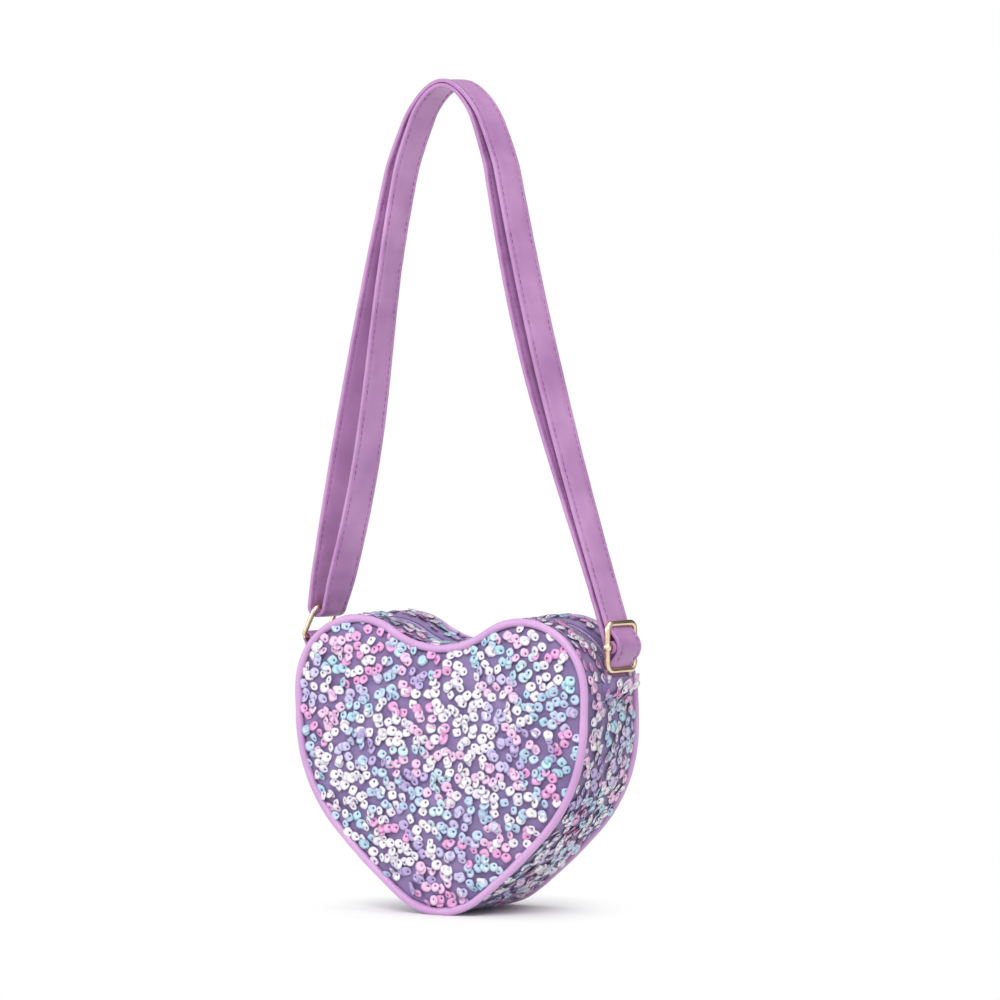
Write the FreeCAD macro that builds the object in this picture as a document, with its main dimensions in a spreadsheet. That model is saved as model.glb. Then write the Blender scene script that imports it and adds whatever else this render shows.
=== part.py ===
"""Heart shaped sequin purse on a doubled shoulder strap, in millimetres.

+Z is up, the front face looks along -Y, and the origin is on the floor under the middle of the bag.
The heart is a chain of tangent arcs, drawn on the centre line of the piping.
Every layer is that chain moved inwards by its own inset.
"""
import FreeCAD, Part
import math
import os
import Sketcher
from FreeCAD import Placement, Rotation, Vector

SIZES = (
    ("lobe_spread", 113.0, "distance between the centres of the two lobes"),
    ("lobe_radius", 42.5, "lobe, on the piping's centre line"),
    ("notch_radius", 59.0, "hollow between the lobes"),
    ("side_radius", 500.0, "nearly straight side below the lobe"),
    ("side_turn", 2.5, "degrees that the side turns"),
    ("shoulder_radius", 99.0, "bend from the side to the flank"),
    ("shoulder_turn", 41.0, "degrees that this bend turns"),
    ("flank_radius", 380.0, "long flank above the tip"),
    ("flank_turn", 9.0, "degrees that the flank turns"),
    ("bag_depth", 80.0, "front to back, over both pipings"),
    ("piping_diameter", 5.5, "covered cord in the two seams"),
    ("foot_cut", 1.0, "how far the piping is pressed flat under the tip"),
    ("ply_gap", 0.1, "room between layers that are sewn together"),
    ("skin", 1.2, "sequin mesh and its backing cloth"),
    ("foam", 3.0, "sponge interlining"),
    ("lining", 0.8, "lining cloth"),
    ("gusset_inset", 0.3, "gusset below the piping's centre line"),
    ("zip_end", 8.0, "degrees above the lobe's widest point where the zip gusset starts"),
    ("zip_slot", 12.0, "opening between the two halves of the zip gusset"),
    ("tape_width", 8.3, "one zip tape, from its teeth outwards"),
    ("tape", 0.7, "zip tape thickness"),
    ("tooth_pitch", 2.0, "one tooth to the next of the same row"),
    ("tooth", 0.8, "tooth thickness along the chain"),
    ("tooth_height", 1.6, "tooth height across the tape"),
    ("tooth_reach", 1.2, "tooth past the middle of the chain"),
    ("tooth_root", 1.4, "foot of the teeth from the middle of the chain"),
    ("tooth_bead", 1.2, "width of the bead that carries one row"),
    ("stop_turn", 4.0, "degrees of the lobe that a zip stop takes at each end of the chain"),
    ("slider_at", 122.0, "degrees round the left lobe where the slider rests"),
    ("slider_length", 11.0, "slider along the chain"),
    ("slider_width", 8.8, "slider across the chain"),
    ("slider_plate", 1.5, "thickness of each slider plate"),
    ("slider_gap", 0.3, "running room round the chain"),
    ("slider_rim", 1.2, "width of the slider's turned edges"),
    ("bail_radius", 2.3, "outside of the bail on the slider"),
    ("bail_hole", 1.1, "radius of the hole through the bail"),
    ("bail_width", 1.6, "bail across the chain"),
    ("pull_length", 14.0, "pull tab from its pin to its end"),
    ("pull_width", 5.6, "pull tab at its wide end"),
    ("pull_neck", 4.8, "pull tab beside the bail"),
    ("pull_thickness", 1.2, "pull tab"),
    ("pull_pin", 1.5, "diameter of the pull's pin"),
    ("pull_droop", 8.0, "degrees that the pull lies below the slider's plate"),
    ("strap_width", 24.0, "shoulder strap"),
    ("strap", 2.4, "strap thickness, two folded plies"),
    ("strap_turn", 6.5, "degrees that the strap's face turns to the front"),
    ("strap_gap", 0.3, "room between the strap and what it passes"),
    ("apex_x", -12.4, "middle of the strap's top bend"),
    ("apex_rise", 342.8, "height of that middle above the lobes' centres"),
    ("apex_radius", 28.0, "outer strand's top bend"),
    ("apex_inner_radius", 22.0, "inner strand's top bend"),
    ("apex_inner_shift", 0.8, "inner bend's middle, to the left of the outer one"),
    ("strap_loop_radius", 4.0, "strap's bend in the ring, inside"),
    ("strap_end_wrap", 290.0, "degrees that the strap's end goes round the centre bar"),
    ("strap_exit_radius", 2.5, "strap's bend where it leaves the side seam"),
    ("strap_exit_run", 0.3, "straight stretch before that bend"),
    ("exit_rise", 5.0, "side seams of the strap and the tab above the lobes' centres"),
    ("seam_gap", 0.3, "room between the strap ends and the gusset"),
    ("buckle_out", 5.5, "buckle's bars beyond the side seam"),
    ("buckle_rise", 27.2, "buckle's centre bar above the lobes' centres"),
    ("buckle_height", 31.6, "buckle over its wires"),
    ("buckle_wire", 3.2, "buckle wire"),
    ("buckle_corner", 3.2, "buckle's corner bend"),
    ("buckle_room", 1.0, "room between the strap's edge and the buckle's side"),
    ("bar_wire", 3.2, "buckle's centre bar"),
    ("collar_diameter", 5.6, "ball collar of the centre bar on the buckle's side"),
    ("collar_fit", 0.05, "room of the collar round the side wire"),
    ("ring_out", 1.5, "ring's upper bar beyond the side seam"),
    ("ring_rise", 47.2, "ring's upper bar above the lobes' centres"),
    ("ring_wire", 3.0, "ring wire"),
    ("ring_height", 23.4, "ring over its wires"),
    ("ring_room", 0.75, "room between the strap's edge and the ring's side"),
    ("ring_corner", 3.5, "ring's corner bend"),
    ("ring_lean", 26.0, "degrees that the ring leans inwards at its top"),
    ("tab", 1.6, "one ply of the ring's tab"),
    ("tab_width", 20.0, "ring's tab"),
    ("tab_gap", 0.15, "room round the ring's lower bar"),
)

doc = FreeCAD.newDocument("heart_purse")
sheet = doc.addObject("Spreadsheet::Sheet", "Sizes")
for row, (alias, number, meaning) in enumerate(SIZES, start=1):
    sheet.set(f"A{row}", meaning)
    sheet.set(f"B{row}", str(number))
    sheet.setAlias(f"B{row}", alias)
doc.recompute()
pieces = []


def value(expression):
    """Number that an expression on the sheet stands for."""
    return float(sheet.evalExpression(expression))


def polar(centre, radius, angle):
    """Point at an angle, in radians, round a centre."""
    return (centre[0] + radius * math.cos(angle), centre[1] + radius * math.sin(angle))


# Heart outline

def heart_centres():
    """Centres and junction angles of the right half's arcs, and the tip's own radius."""
    side = math.radians(value("Sizes.side_turn"))
    shoulder = side + math.radians(value("Sizes.shoulder_turn"))
    flank = shoulder + math.radians(value("Sizes.flank_turn"))
    lobe_radius = value("Sizes.lobe_radius")
    side_radius = value("Sizes.side_radius")
    shoulder_radius = value("Sizes.shoulder_radius")
    flank_radius = value("Sizes.flank_radius")
    lobe = (value("Sizes.lobe_spread") / 2, 0.0)
    side_centre = polar(lobe, lobe_radius - side_radius, 0.0)
    shoulder_centre = polar(side_centre, side_radius - shoulder_radius, -side)
    flank_centre = polar(shoulder_centre, shoulder_radius - flank_radius, -shoulder)
    tip_radius = flank_radius + flank_centre[0] / math.cos(flank)
    tip_centre = polar(flank_centre, flank_radius - tip_radius, -flank)
    rise = value("Sizes.piping_diameter / 2 - Sizes.foot_cut") - (tip_centre[1] - tip_radius)
    reach = lobe_radius + value("Sizes.notch_radius")
    notch_rise = math.sqrt(reach ** 2 - lobe[0] ** 2)
    raised = [(x, z + rise) for x, z in (lobe, side_centre, shoulder_centre, flank_centre, tip_centre)]
    notch_centre = (0.0, raised[0][1] + notch_rise)
    notch_angle = math.atan2(notch_rise, -lobe[0])
    return raised, notch_centre, (side, shoulder, flank, notch_angle), tip_radius


LOBE, SIDE, SHOULDER, FLANK, TIP = range(5)
CENTRES, NOTCH, TURNS, TIP_RADIUS = heart_centres()
SIDE_END, SHOULDER_END, FLANK_END, NOTCH_ANGLE = TURNS
ZIP_END = math.radians(value("Sizes.zip_end"))
STOP_TURN = math.radians(value("Sizes.stop_turn"))
RADIUS_OF = {LOBE: "Sizes.lobe_radius", SIDE: "Sizes.side_radius",
             SHOULDER: "Sizes.shoulder_radius", FLANK: "Sizes.flank_radius"}


def right_arc(which, first, last, inset):
    """One convex arc of the right half: centre, radius, angles and the radius as an expression."""
    expression = f"{RADIUS_OF[which]} - ({inset})" if which in RADIUS_OF else None
    radius = value(expression) if expression else TIP_RADIUS - value(inset)
    return (CENTRES[which], radius, first, last, expression)


def mirrored(arc):
    """The same arc on the left half."""
    (x, z), radius, first, last, expression = arc
    return ((-x, z), radius, math.pi - last, math.pi - first, expression)


def notch_arc(inset):
    """Concave arc between the lobes, from left to right below its centre."""
    half = math.pi / 2 - (math.pi - NOTCH_ANGLE)
    expression = f"Sizes.notch_radius + ({inset})"
    first = -math.pi / 2 - half
    last = -math.pi / 2 + half
    return (NOTCH, value(expression), first, last, expression)


def upper_run(inset, short=0.0):
    """Arcs of the zip gusset, from its right end over the lobes to its left end."""
    lobe = right_arc(LOBE, ZIP_END + short, NOTCH_ANGLE, inset)
    return [lobe, notch_arc(inset), mirrored(lobe)]


def chain_run(inset):
    """Arcs of the zip chain, which stops short of the gusset's ends."""
    return upper_run(inset, STOP_TURN)


def stop_run(inset):
    """Arc that the right zip stop takes up."""
    return [right_arc(LOBE, ZIP_END + STOP_TURN / 4, ZIP_END + STOP_TURN * 3 / 4, inset)]


def left_stop_run(inset):
    """Arc that the left zip stop takes up."""
    return [mirrored(arc) for arc in stop_run(inset)]


def lower_run(inset):
    """Arcs of the lower gusset, from the zip's left end round the tip to its right end."""
    right = [
        right_arc(TIP, -math.pi / 2, -FLANK_END, inset),
        right_arc(FLANK, -FLANK_END, -SHOULDER_END, inset),
        right_arc(SHOULDER, -SHOULDER_END, -SIDE_END, inset),
        right_arc(SIDE, -SIDE_END, 0.0, inset),
        right_arc(LOBE, 0.0, ZIP_END, inset),
    ]
    return [mirrored(arc) for arc in reversed(right)] + right


def whole_run(inset):
    """Arcs of the closed outline, from the tip counter-clockwise."""
    lower = lower_run(inset)
    half = len(lower) // 2
    return lower[half:] + upper_run(inset) + lower[:half]


# Sketches and features

def bind(target, **expressions):
    """Ties properties of an object to expressions on the sheet."""
    for name, expression in expressions.items():
        target.setExpression(name, expression)


def new_body(label):
    """Body of one piece, which is written under its label."""
    body = doc.addObject("PartDesign::Body", label)
    body.Label = label
    pieces.append(body)
    return body


def new_sketch(body, name, role, offset="0"):
    """Sketch on one of the body's own origin planes, moved along the plane's normal."""
    sketch = body.newObject("Sketcher::SketchObject", f"{body.Name}_{name}")
    plane = next(item for item in body.Origin.OriginFeatures if item.Role == role)
    sketch.AttachmentSupport = [(plane, "")]
    sketch.MapMode = "FlatFace"
    sketch.setExpression("AttachmentOffset.Base.z", offset)
    return sketch


def draw_arc(sketch, arc):
    """Adds an arc whose radius follows the sheet."""
    centre, radius, first, last, expression = arc
    circle = Part.Circle(Vector(*centre, 0), Vector(0, 0, 1), radius)
    index = sketch.addGeometry(Part.ArcOfCircle(circle, first, last), False)
    if expression:
        number = sketch.addConstraint(Sketcher.Constraint("Radius", index, radius))
        sketch.setExpression(f"Constraints[{number}]", expression)


def draw_line(sketch, first, last):
    """Adds a straight edge between two points."""
    sketch.addGeometry(Part.LineSegment(Vector(*first, 0), Vector(*last, 0)), False)


def draw_circle(sketch, centre, diameter):
    """Adds a full circle whose diameter follows the sheet."""
    circle = Part.Circle(Vector(*centre, 0), Vector(0, 0, 1), value(diameter) / 2)
    index = sketch.addGeometry(circle, False)
    number = sketch.addConstraint(Sketcher.Constraint("Diameter", index, value(diameter)))
    sketch.setExpression(f"Constraints[{number}]", diameter)


def draw_polygon(sketch, points):
    """Adds a closed outline of straight edges."""
    for first, last in zip(points, points[1:] + points[:1]):
        draw_line(sketch, first, last)


def pad(body, sketch, length):
    """Pads a sketch along its normal."""
    feature = body.newObject("PartDesign::Pad", f"{sketch.Name}_pad")
    feature.Profile = sketch
    bind(feature, Length=length)
    return feature


def plate(label, inset, outer, thickness, front):
    """Heart shaped layer whose outer face lies a given distance from the bag's middle plane."""
    body = new_body(label)
    start = f"{outer} - ({thickness})" if front else f"-({outer})"
    sketch = new_sketch(body, "outline", "XZ_Plane", start)
    for arc in whole_run(inset):
        draw_arc(sketch, arc)
    pad(body, sketch, thickness)


def draw_band(sketch, run, outer, inner):
    """Strip between two insets of the same run, closed at its ends."""
    outside = run(outer)
    inside = run(inner)
    for arc in outside + inside:
        draw_arc(sketch, arc)
    first_out, last_out = outside[0], outside[-1]
    first_in, last_in = inside[0], inside[-1]
    draw_line(sketch, polar(first_out[0], first_out[1], first_out[2]),
              polar(first_in[0], first_in[1], first_in[2]))
    draw_line(sketch, polar(last_out[0], last_out[1], last_out[3]),
              polar(last_in[0], last_in[1], last_in[3]))


def band(label, run, outer, inner, near, far, side):
    """Layer that follows the outline, from near to far of the middle plane; side 0 spans both."""
    body = new_body(label)
    start = {0: f"-({far})", -1: near, 1: f"-({far})"}[side]
    length = f"2 * ({far})" if side == 0 else f"{far} - ({near})"
    sketch = new_sketch(body, "outline", "XZ_Plane", start)
    draw_band(sketch, run, outer, inner)
    pad(body, sketch, length)
    return body


# Layers of the bag

SEAM = "Sizes.bag_depth / 2 - Sizes.piping_diameter / 2"
PANEL_INSET = "Sizes.piping_diameter / 2 + Sizes.ply_gap"
PANEL_OUTER = f"{SEAM} + Sizes.skin / 2"
FOAM_OUTER = f"{PANEL_OUTER} - Sizes.skin - Sizes.ply_gap"
LINING_OUTER = f"{FOAM_OUTER} - Sizes.foam - Sizes.ply_gap"
GUSSET_FOAM = "Sizes.gusset_inset + Sizes.skin + Sizes.ply_gap"
GUSSET_LINING = f"{GUSSET_FOAM} + Sizes.foam + Sizes.ply_gap"
GUSSET_INNER = f"{GUSSET_LINING} + Sizes.lining"
GUSSET_EDGE = f"{SEAM} - Sizes.piping_diameter / 2 - Sizes.ply_gap"
LAYER_EDGE = LINING_OUTER


def make_panels(name, front):
    """Face of the bag: sequin mesh, sponge and lining."""
    plate(f"{name}_panel", PANEL_INSET, PANEL_OUTER, "Sizes.skin", front)
    plate(f"{name}_foam", PANEL_INSET, FOAM_OUTER, "Sizes.foam", front)
    plate(f"{name}_lining", f"{GUSSET_INNER} + Sizes.ply_gap", LINING_OUTER, "Sizes.lining", front)


def make_piping(label, front):
    """Round cord along the seam, pressed flat under the tip where the bag stands."""
    body = new_body(label)
    place = SEAM if front else f"-({SEAM})"
    spine = new_sketch(body, "seam", "XZ_Plane", place)
    for arc in whole_run("0"):
        draw_arc(spine, arc)
    section = new_sketch(body, "section", "YZ_Plane")
    tip = value("Sizes.piping_diameter / 2 - Sizes.foot_cut")
    draw_circle(section, (-value(place), tip), "Sizes.piping_diameter")
    tube = body.newObject("PartDesign::AdditivePipe", f"{label}_tube")
    tube.Profile = section
    tube.Spine = spine
    doc.recompute()
    uncut = tube.Shape.Volume
    foot = new_sketch(body, "foot", "XY_Plane")
    reach = value("Sizes.lobe_spread / 2")
    depth = value("Sizes.bag_depth / 2")
    draw_polygon(foot, [(-reach, -depth), (reach, -depth), (reach, depth), (-reach, depth)])
    cut = body.newObject("PartDesign::Pocket", f"{label}_foot_cut")
    cut.Profile = foot
    bind(cut, Length="Sizes.foot_cut * 2")
    doc.recompute()
    if cut.Shape.Volume >= uncut:
        cut.Reversed = True


def make_gussets():
    """Strip round the sides and tip, and the two halves of the zip gusset over the lobes."""
    skin_inner = "Sizes.gusset_inset + Sizes.skin"
    band("lower_gusset", lower_run, "Sizes.gusset_inset", skin_inner, "0", GUSSET_EDGE, 0)
    band("gusset_foam", lower_run, GUSSET_FOAM, f"{GUSSET_FOAM} + Sizes.foam", "0",
         f"{LAYER_EDGE} - Sizes.ply_gap", 0)
    band("gusset_lining", lower_run, GUSSET_LINING, GUSSET_INNER, "0",
         f"{LAYER_EDGE} - Sizes.ply_gap", 0)
    tape_outer = f"{skin_inner} + Sizes.ply_gap"
    lining_outer = f"{tape_outer} + Sizes.tape + Sizes.ply_gap"
    for name, side in (("front", -1), ("back", 1)):
        band(f"zip_gusset_{name}", upper_run, "Sizes.gusset_inset", skin_inner,
             "Sizes.zip_slot / 2", GUSSET_EDGE, side)
        band(f"zip_tape_{name}", upper_run, tape_outer, f"{tape_outer} + Sizes.tape",
             TAPE_EDGE, f"{TAPE_EDGE} + Sizes.tape_width", side)
        band(f"zip_lining_{name}", upper_run, lining_outer, f"{lining_outer} + Sizes.lining",
             "Sizes.zip_slot / 2 + Sizes.skin", f"{LAYER_EDGE} - Sizes.ply_gap", side)


# Zip

TAPE_MIDDLE = "Sizes.gusset_inset + Sizes.skin + Sizes.ply_gap + Sizes.tape / 2"
TAPE_EDGE = "Sizes.tooth_root + Sizes.tooth_bead + Sizes.ply_gap"
TEETH_OUTER = f"{TAPE_MIDDLE} - Sizes.tooth_height / 2"
TEETH_INNER = f"{TAPE_MIDDLE} + Sizes.tooth_height / 2"


def tooth_row(body, name, centre, arc, phase, start, length):
    """Teeth at an even pitch along one arc, as a padded tooth and its polar pattern."""
    radius, first, last = arc
    step = value("Sizes.tooth_pitch") / radius
    count = int((last - first) / step)
    begin = first + (last - first - (count - 1) * step) / 2 + phase * step
    sketch = new_sketch(body, name, "XZ_Plane", start)
    sketch.AttachmentOffset = Placement(Vector(*centre, 0), Rotation())
    half = value("Sizes.tooth / 2") / radius
    inner = radius - value("Sizes.tooth_height / 2 - Sizes.ply_gap")
    outer = radius + value("Sizes.tooth_height / 2 - Sizes.ply_gap")
    corners = [(inner, -half), (outer, -half), (outer, half), (inner, half)]
    draw_polygon(sketch, [polar((0, 0), reach, begin + turn) for reach, turn in corners])
    tooth = pad(body, sketch, length)
    row = body.newObject("PartDesign::PolarPattern", f"{sketch.Name}_row")
    row.Originals = [tooth]
    row.Axis = (sketch, ["N_Axis"])
    row.Angle = math.degrees(step * (count - 1))
    row.Occurrences = count
    body.Tip = row


def make_teeth(label, side):
    """One row of the chain: a bead on the tape's edge and teeth that reach between the other row's."""
    body = band(label, chain_run, TEETH_OUTER, TEETH_INNER, "Sizes.tooth_root",
                "Sizes.tooth_root + Sizes.tooth_bead", side)
    hold = "Sizes.tooth_bead / 2"
    start = "-Sizes.tooth_reach" if side < 0 else f"-(Sizes.tooth_root + {hold})"
    length = f"Sizes.tooth_reach + Sizes.tooth_root + {hold}"
    phase = side / 4
    for name, arc in zip(("right_lobe", "notch", "left_lobe"), chain_run(TAPE_MIDDLE)):
        centre, radius, first, last, _ = arc
        tooth_row(body, name, centre, (radius, first, last), phase, start, length)


def make_stops():
    """Metal stops at the two ends of the chain, between the tapes."""
    for label, run in (("zip_top_stop", left_stop_run), ("zip_bottom_stop", stop_run)):
        band(label, run, TEETH_OUTER, TEETH_INNER, "0", "Sizes.tooth_root + Sizes.tooth_bead", 0)


def left_sector(sketch, outer, inner, half_angle):
    """Sector of a ring round the left lobe's centre, about the slider's place."""
    x, z = CENTRES[LOBE]
    middle = math.radians(value("Sizes.slider_at"))
    first = middle - half_angle
    last = middle + half_angle
    ends = []
    for inset in (outer, inner):
        expression = f"Sizes.lobe_radius - ({inset})"
        radius = value(expression)
        draw_arc(sketch, ((-x, z), radius, first, last, expression))
        ends.append((polar((-x, z), radius, first), polar((-x, z), radius, last)))
    draw_line(sketch, ends[0][0], ends[1][0])
    draw_line(sketch, ends[0][1], ends[1][1])


def slab(body, name, outer, inner, near, far, half_angle):
    """Curved slab of the slider between two distances from the chain's middle."""
    sketch = new_sketch(body, name, "XZ_Plane", near)
    left_sector(sketch, outer, inner, half_angle)
    return pad(body, sketch, f"{far} - ({near})")


PLATE_INNER = f"{TEETH_OUTER} - Sizes.slider_gap"
PLATE_OUTER = f"{PLATE_INNER} - Sizes.slider_plate"
BAIL_INSET = f"{PLATE_OUTER} - Sizes.bail_hole - Sizes.slider_gap"


def bail_centre():
    """Middle of the bail's hole, which is the pull's axis."""
    x, z = CENTRES[LOBE]
    return polar((-x, z), value(f"Sizes.lobe_radius - ({BAIL_INSET})"),
                 math.radians(value("Sizes.slider_at")))


def make_slider():
    """Zip slider: upper plate with turned edges and a bail, and the plate under the tapes."""
    half_angle = value("Sizes.slider_length / 2 / Sizes.lobe_radius")
    half_width = "Sizes.slider_width / 2"
    rim_inner = f"{TAPE_MIDDLE} - Sizes.tape / 2 - Sizes.slider_gap"
    upper = new_body("zip_slider")
    slab(upper, "plate", PLATE_OUTER, PLATE_INNER, f"-({half_width})", half_width, half_angle)
    slab(upper, "front_rim", f"{PLATE_INNER} - Sizes.ply_gap", rim_inner,
         f"{half_width} - Sizes.slider_rim", half_width, half_angle)
    slab(upper, "back_rim", f"{PLATE_INNER} - Sizes.ply_gap", rim_inner,
         f"-({half_width})", f"-({half_width}) + Sizes.slider_rim", half_angle)
    bail = new_sketch(upper, "bail", "XZ_Plane", "-Sizes.bail_width / 2")
    centre = bail_centre()
    out = math.radians(value("Sizes.slider_at"))
    radius = value("Sizes.bail_radius")
    foot = value(f"({PLATE_OUTER}) - ({BAIL_INSET}) + Sizes.slider_plate / 2")
    left = polar(centre, radius, out + math.pi / 2)
    right = polar(centre, radius, out - math.pi / 2)
    draw_arc(bail, (centre, radius, out - math.pi / 2, out + math.pi / 2, "Sizes.bail_radius"))
    draw_line(bail, left, polar(left, -foot, out))
    draw_line(bail, polar(left, -foot, out), polar(right, -foot, out))
    draw_line(bail, polar(right, -foot, out), right)
    draw_circle(bail, centre, "Sizes.bail_hole * 2")
    pad(upper, bail, "Sizes.bail_width")
    lower = new_body("zip_slider_back")
    back_outer = f"{TEETH_INNER} + Sizes.slider_gap"
    rim_outer = f"{TAPE_MIDDLE} + Sizes.tape / 2 + Sizes.slider_gap"
    slab(lower, "plate", back_outer, f"{back_outer} + Sizes.slider_plate",
         f"-({half_width})", half_width, half_angle)
    slab(lower, "front_rim", rim_outer, f"{back_outer} + Sizes.ply_gap",
         f"{half_width} - Sizes.slider_rim", half_width, half_angle)
    slab(lower, "back_rim", rim_outer, f"{back_outer} + Sizes.ply_gap",
         f"-({half_width})", f"-({half_width}) + Sizes.slider_rim", half_angle)


def make_pull():
    """Pull tab: a pin through the bail between two arms, which widen to a rounded end."""
    body = new_body("zip_pull")
    neck = value("Sizes.pull_neck / 2")
    wide = value("Sizes.pull_width / 2")
    window = value("Sizes.bail_width / 2 + Sizes.slider_gap")
    pin = value("Sizes.pull_pin / 2")
    crotch = value("Sizes.bail_radius + Sizes.slider_gap")
    shoulder = value("Sizes.pull_length") - wide
    sketch = new_sketch(body, "outline", "XY_Plane", "-Sizes.pull_thickness / 2")
    draw_arc(sketch, ((shoulder, 0), wide, -math.pi / 2, math.pi / 2, "Sizes.pull_width / 2"))
    corners = [(shoulder, wide), (-pin, neck), (-pin, window), (crotch, window),
               (crotch, -window), (-pin, -window), (-pin, -neck), (shoulder, -wide)]
    for first, last in zip(corners, corners[1:]):
        draw_line(sketch, first, last)
    pad(body, sketch, "Sizes.pull_thickness")
    bar = new_sketch(body, "pin", "XZ_Plane", "-Sizes.pull_neck / 2")
    draw_circle(bar, (0, 0), "Sizes.pull_pin")
    pad(body, bar, "Sizes.pull_neck")
    x, z = bail_centre()
    heading = value("Sizes.slider_at + 90 + Sizes.pull_droop")
    body.Placement = Placement(Vector(x, 0, z), Rotation(Vector(0, 1, 0), -heading))


# Strap, ring and buckle

def tangent_line(first, second):
    """Normal angle of the line that leaves one circle and meets the next; radii are signed by side."""
    (ax, az), a_radius = first
    (bx, bz), b_radius = second
    span = math.hypot(bx - ax, bz - az)
    return math.atan2(bz - az, bx - ax) + math.acos((b_radius - a_radius) / span)


def belt_side(stops, shift, last_wrap):
    """One face of a strip that runs round circles: lines and arcs moved to the left by shift.

    A stop is a centre and a radius: positive turns left round it, negative right, zero is an end.
    """
    moved = [(centre, radius - shift) for centre, radius in stops]
    normals = [tangent_line(first, second) for first, second in zip(moved, moved[1:])]
    edges = []
    for index, normal in enumerate(normals):
        (start, start_radius), (end, end_radius) = moved[index], moved[index + 1]
        edges.append(("line", polar(start, -start_radius, normal), polar(end, -end_radius, normal)))
        outgoing = normals[index + 1] if index + 1 < len(normals) else None
        if outgoing is None and last_wrap is None:
            break
        turn = last_wrap if outgoing is None else outgoing - normal
        if end_radius > 0:
            turn = turn % (2 * math.pi)
            edges.append(("arc", end, end_radius, normal + math.pi, normal + math.pi + turn))
        else:
            turn = (-turn) % (2 * math.pi)
            edges.append(("arc", end, -end_radius, normal - turn, normal))
    return edges


def far_end(edge):
    """Last point of a strip's final edge."""
    if edge[0] == "line":
        return edge[2]
    return polar(edge[1], edge[2], edge[4])


def draw_belt(sketch, stops, thickness, last_wrap=None):
    """Closed section of a strip of even thickness along its stops."""
    half = value(thickness) / 2
    faces = [belt_side(stops, shift, last_wrap) for shift in (half, -half)]
    for face in faces:
        for edge in face:
            if edge[0] == "line":
                draw_line(sketch, edge[1], edge[2])
            else:
                draw_arc(sketch, (edge[1], edge[2], edge[3], edge[4], None))
    draw_line(sketch, faces[0][0][1], faces[1][0][1])
    draw_line(sketch, far_end(faces[0][-1]), far_end(faces[1][-1]))


def extrude_strip(label, sketch, width, turn):
    """Strip of a given width, extruded both ways along its own width."""
    strip = doc.addObject("Part::Extrusion", label)
    strip.Label = label
    strip.Base = sketch
    strip.DirMode = "Custom"
    angle = math.radians(value(turn))
    strip.Dir = Vector(math.sin(angle), math.cos(angle), 0)
    strip.Solid = True
    strip.Symmetric = True
    bind(strip, LengthFwd=width)
    pieces.append(strip)


def strip_sketch(name):
    """Free sketch in the bag's middle plane, with X to the right and Z up."""
    sketch = doc.addObject("Sketcher::SketchObject", name)
    sketch.Placement = Placement(Vector(0, 0, 0), Rotation(Vector(1, 0, 0), 90))
    return sketch


def seam_side():
    """Distance from the bag's middle at which the strap's ends stay clear of the gusset."""
    return value("Sizes.lobe_spread / 2 + Sizes.lobe_radius - Sizes.gusset_inset + Sizes.seam_gap")


def above_lobes(rise):
    """Height of a place that is measured from the lobes' centres."""
    return CENTRES[LOBE][1] + value(rise)


def ring_bars():
    """Centres of the ring's upper and lower bars."""
    upper = (-seam_side() - value("Sizes.ring_out"), above_lobes("Sizes.ring_rise"))
    span = value("Sizes.ring_height - Sizes.ring_wire")
    lower = polar(upper, -span, math.pi / 2 - math.radians(value("Sizes.ring_lean")))
    return upper, lower


def buckle_bars():
    """Centres of the buckle's lower, middle and upper bars."""
    x = seam_side() + value("Sizes.buckle_out")
    z = above_lobes("Sizes.buckle_rise")
    half = value("Sizes.buckle_height / 2 - Sizes.buckle_wire / 2")
    return (x, z - half), (x, z), (x, z + half)


def make_strap():
    """One strap: side seam, buckle, over the top, through the ring, back over, round the centre bar."""
    low, middle, high = buckle_bars()
    ring, _ = ring_bars()
    past_bar = value("Sizes.buckle_wire / 2 + Sizes.strap_gap + Sizes.strap / 2")
    end_loop = value("Sizes.bar_wire / 2 + Sizes.strap_gap / 2 + Sizes.strap / 2")
    past_loop = end_loop + value("Sizes.strap + Sizes.strap_gap")
    exit_bend = value("Sizes.strap_exit_radius")
    exit_z = above_lobes("Sizes.exit_rise")
    skew = value("Sizes.strap_width / 2") * math.sin(math.radians(value("Sizes.strap_turn")))
    exit_x = seam_side() + skew
    apex_radius = value("Sizes.apex_radius")
    inner_radius = value("Sizes.apex_inner_radius")
    apex = (value("Sizes.apex_x"), above_lobes("Sizes.apex_rise"))
    lift = apex_radius - inner_radius - value("Sizes.strap + Sizes.strap_gap")
    inner_apex = (apex[0] - value("Sizes.apex_inner_shift"), apex[1] + lift)
    stops = [
        ((exit_x, exit_z), 0.0),
        ((exit_x + value("Sizes.strap_exit_run"), exit_z + exit_bend), exit_bend),
        (low, -past_bar),
        (middle, past_loop),
        (high, -past_bar),
        (apex, apex_radius),
        (ring, value("Sizes.strap_loop_radius + Sizes.strap / 2")),
        (inner_apex, -inner_radius),
        (middle, end_loop),
    ]
    sketch = strip_sketch("strap_section")
    draw_belt(sketch, stops, "Sizes.strap", math.radians(value("Sizes.strap_end_wrap")))
    extrude_strip("shoulder_strap", sketch, "Sizes.strap_width", "Sizes.strap_turn")


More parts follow.
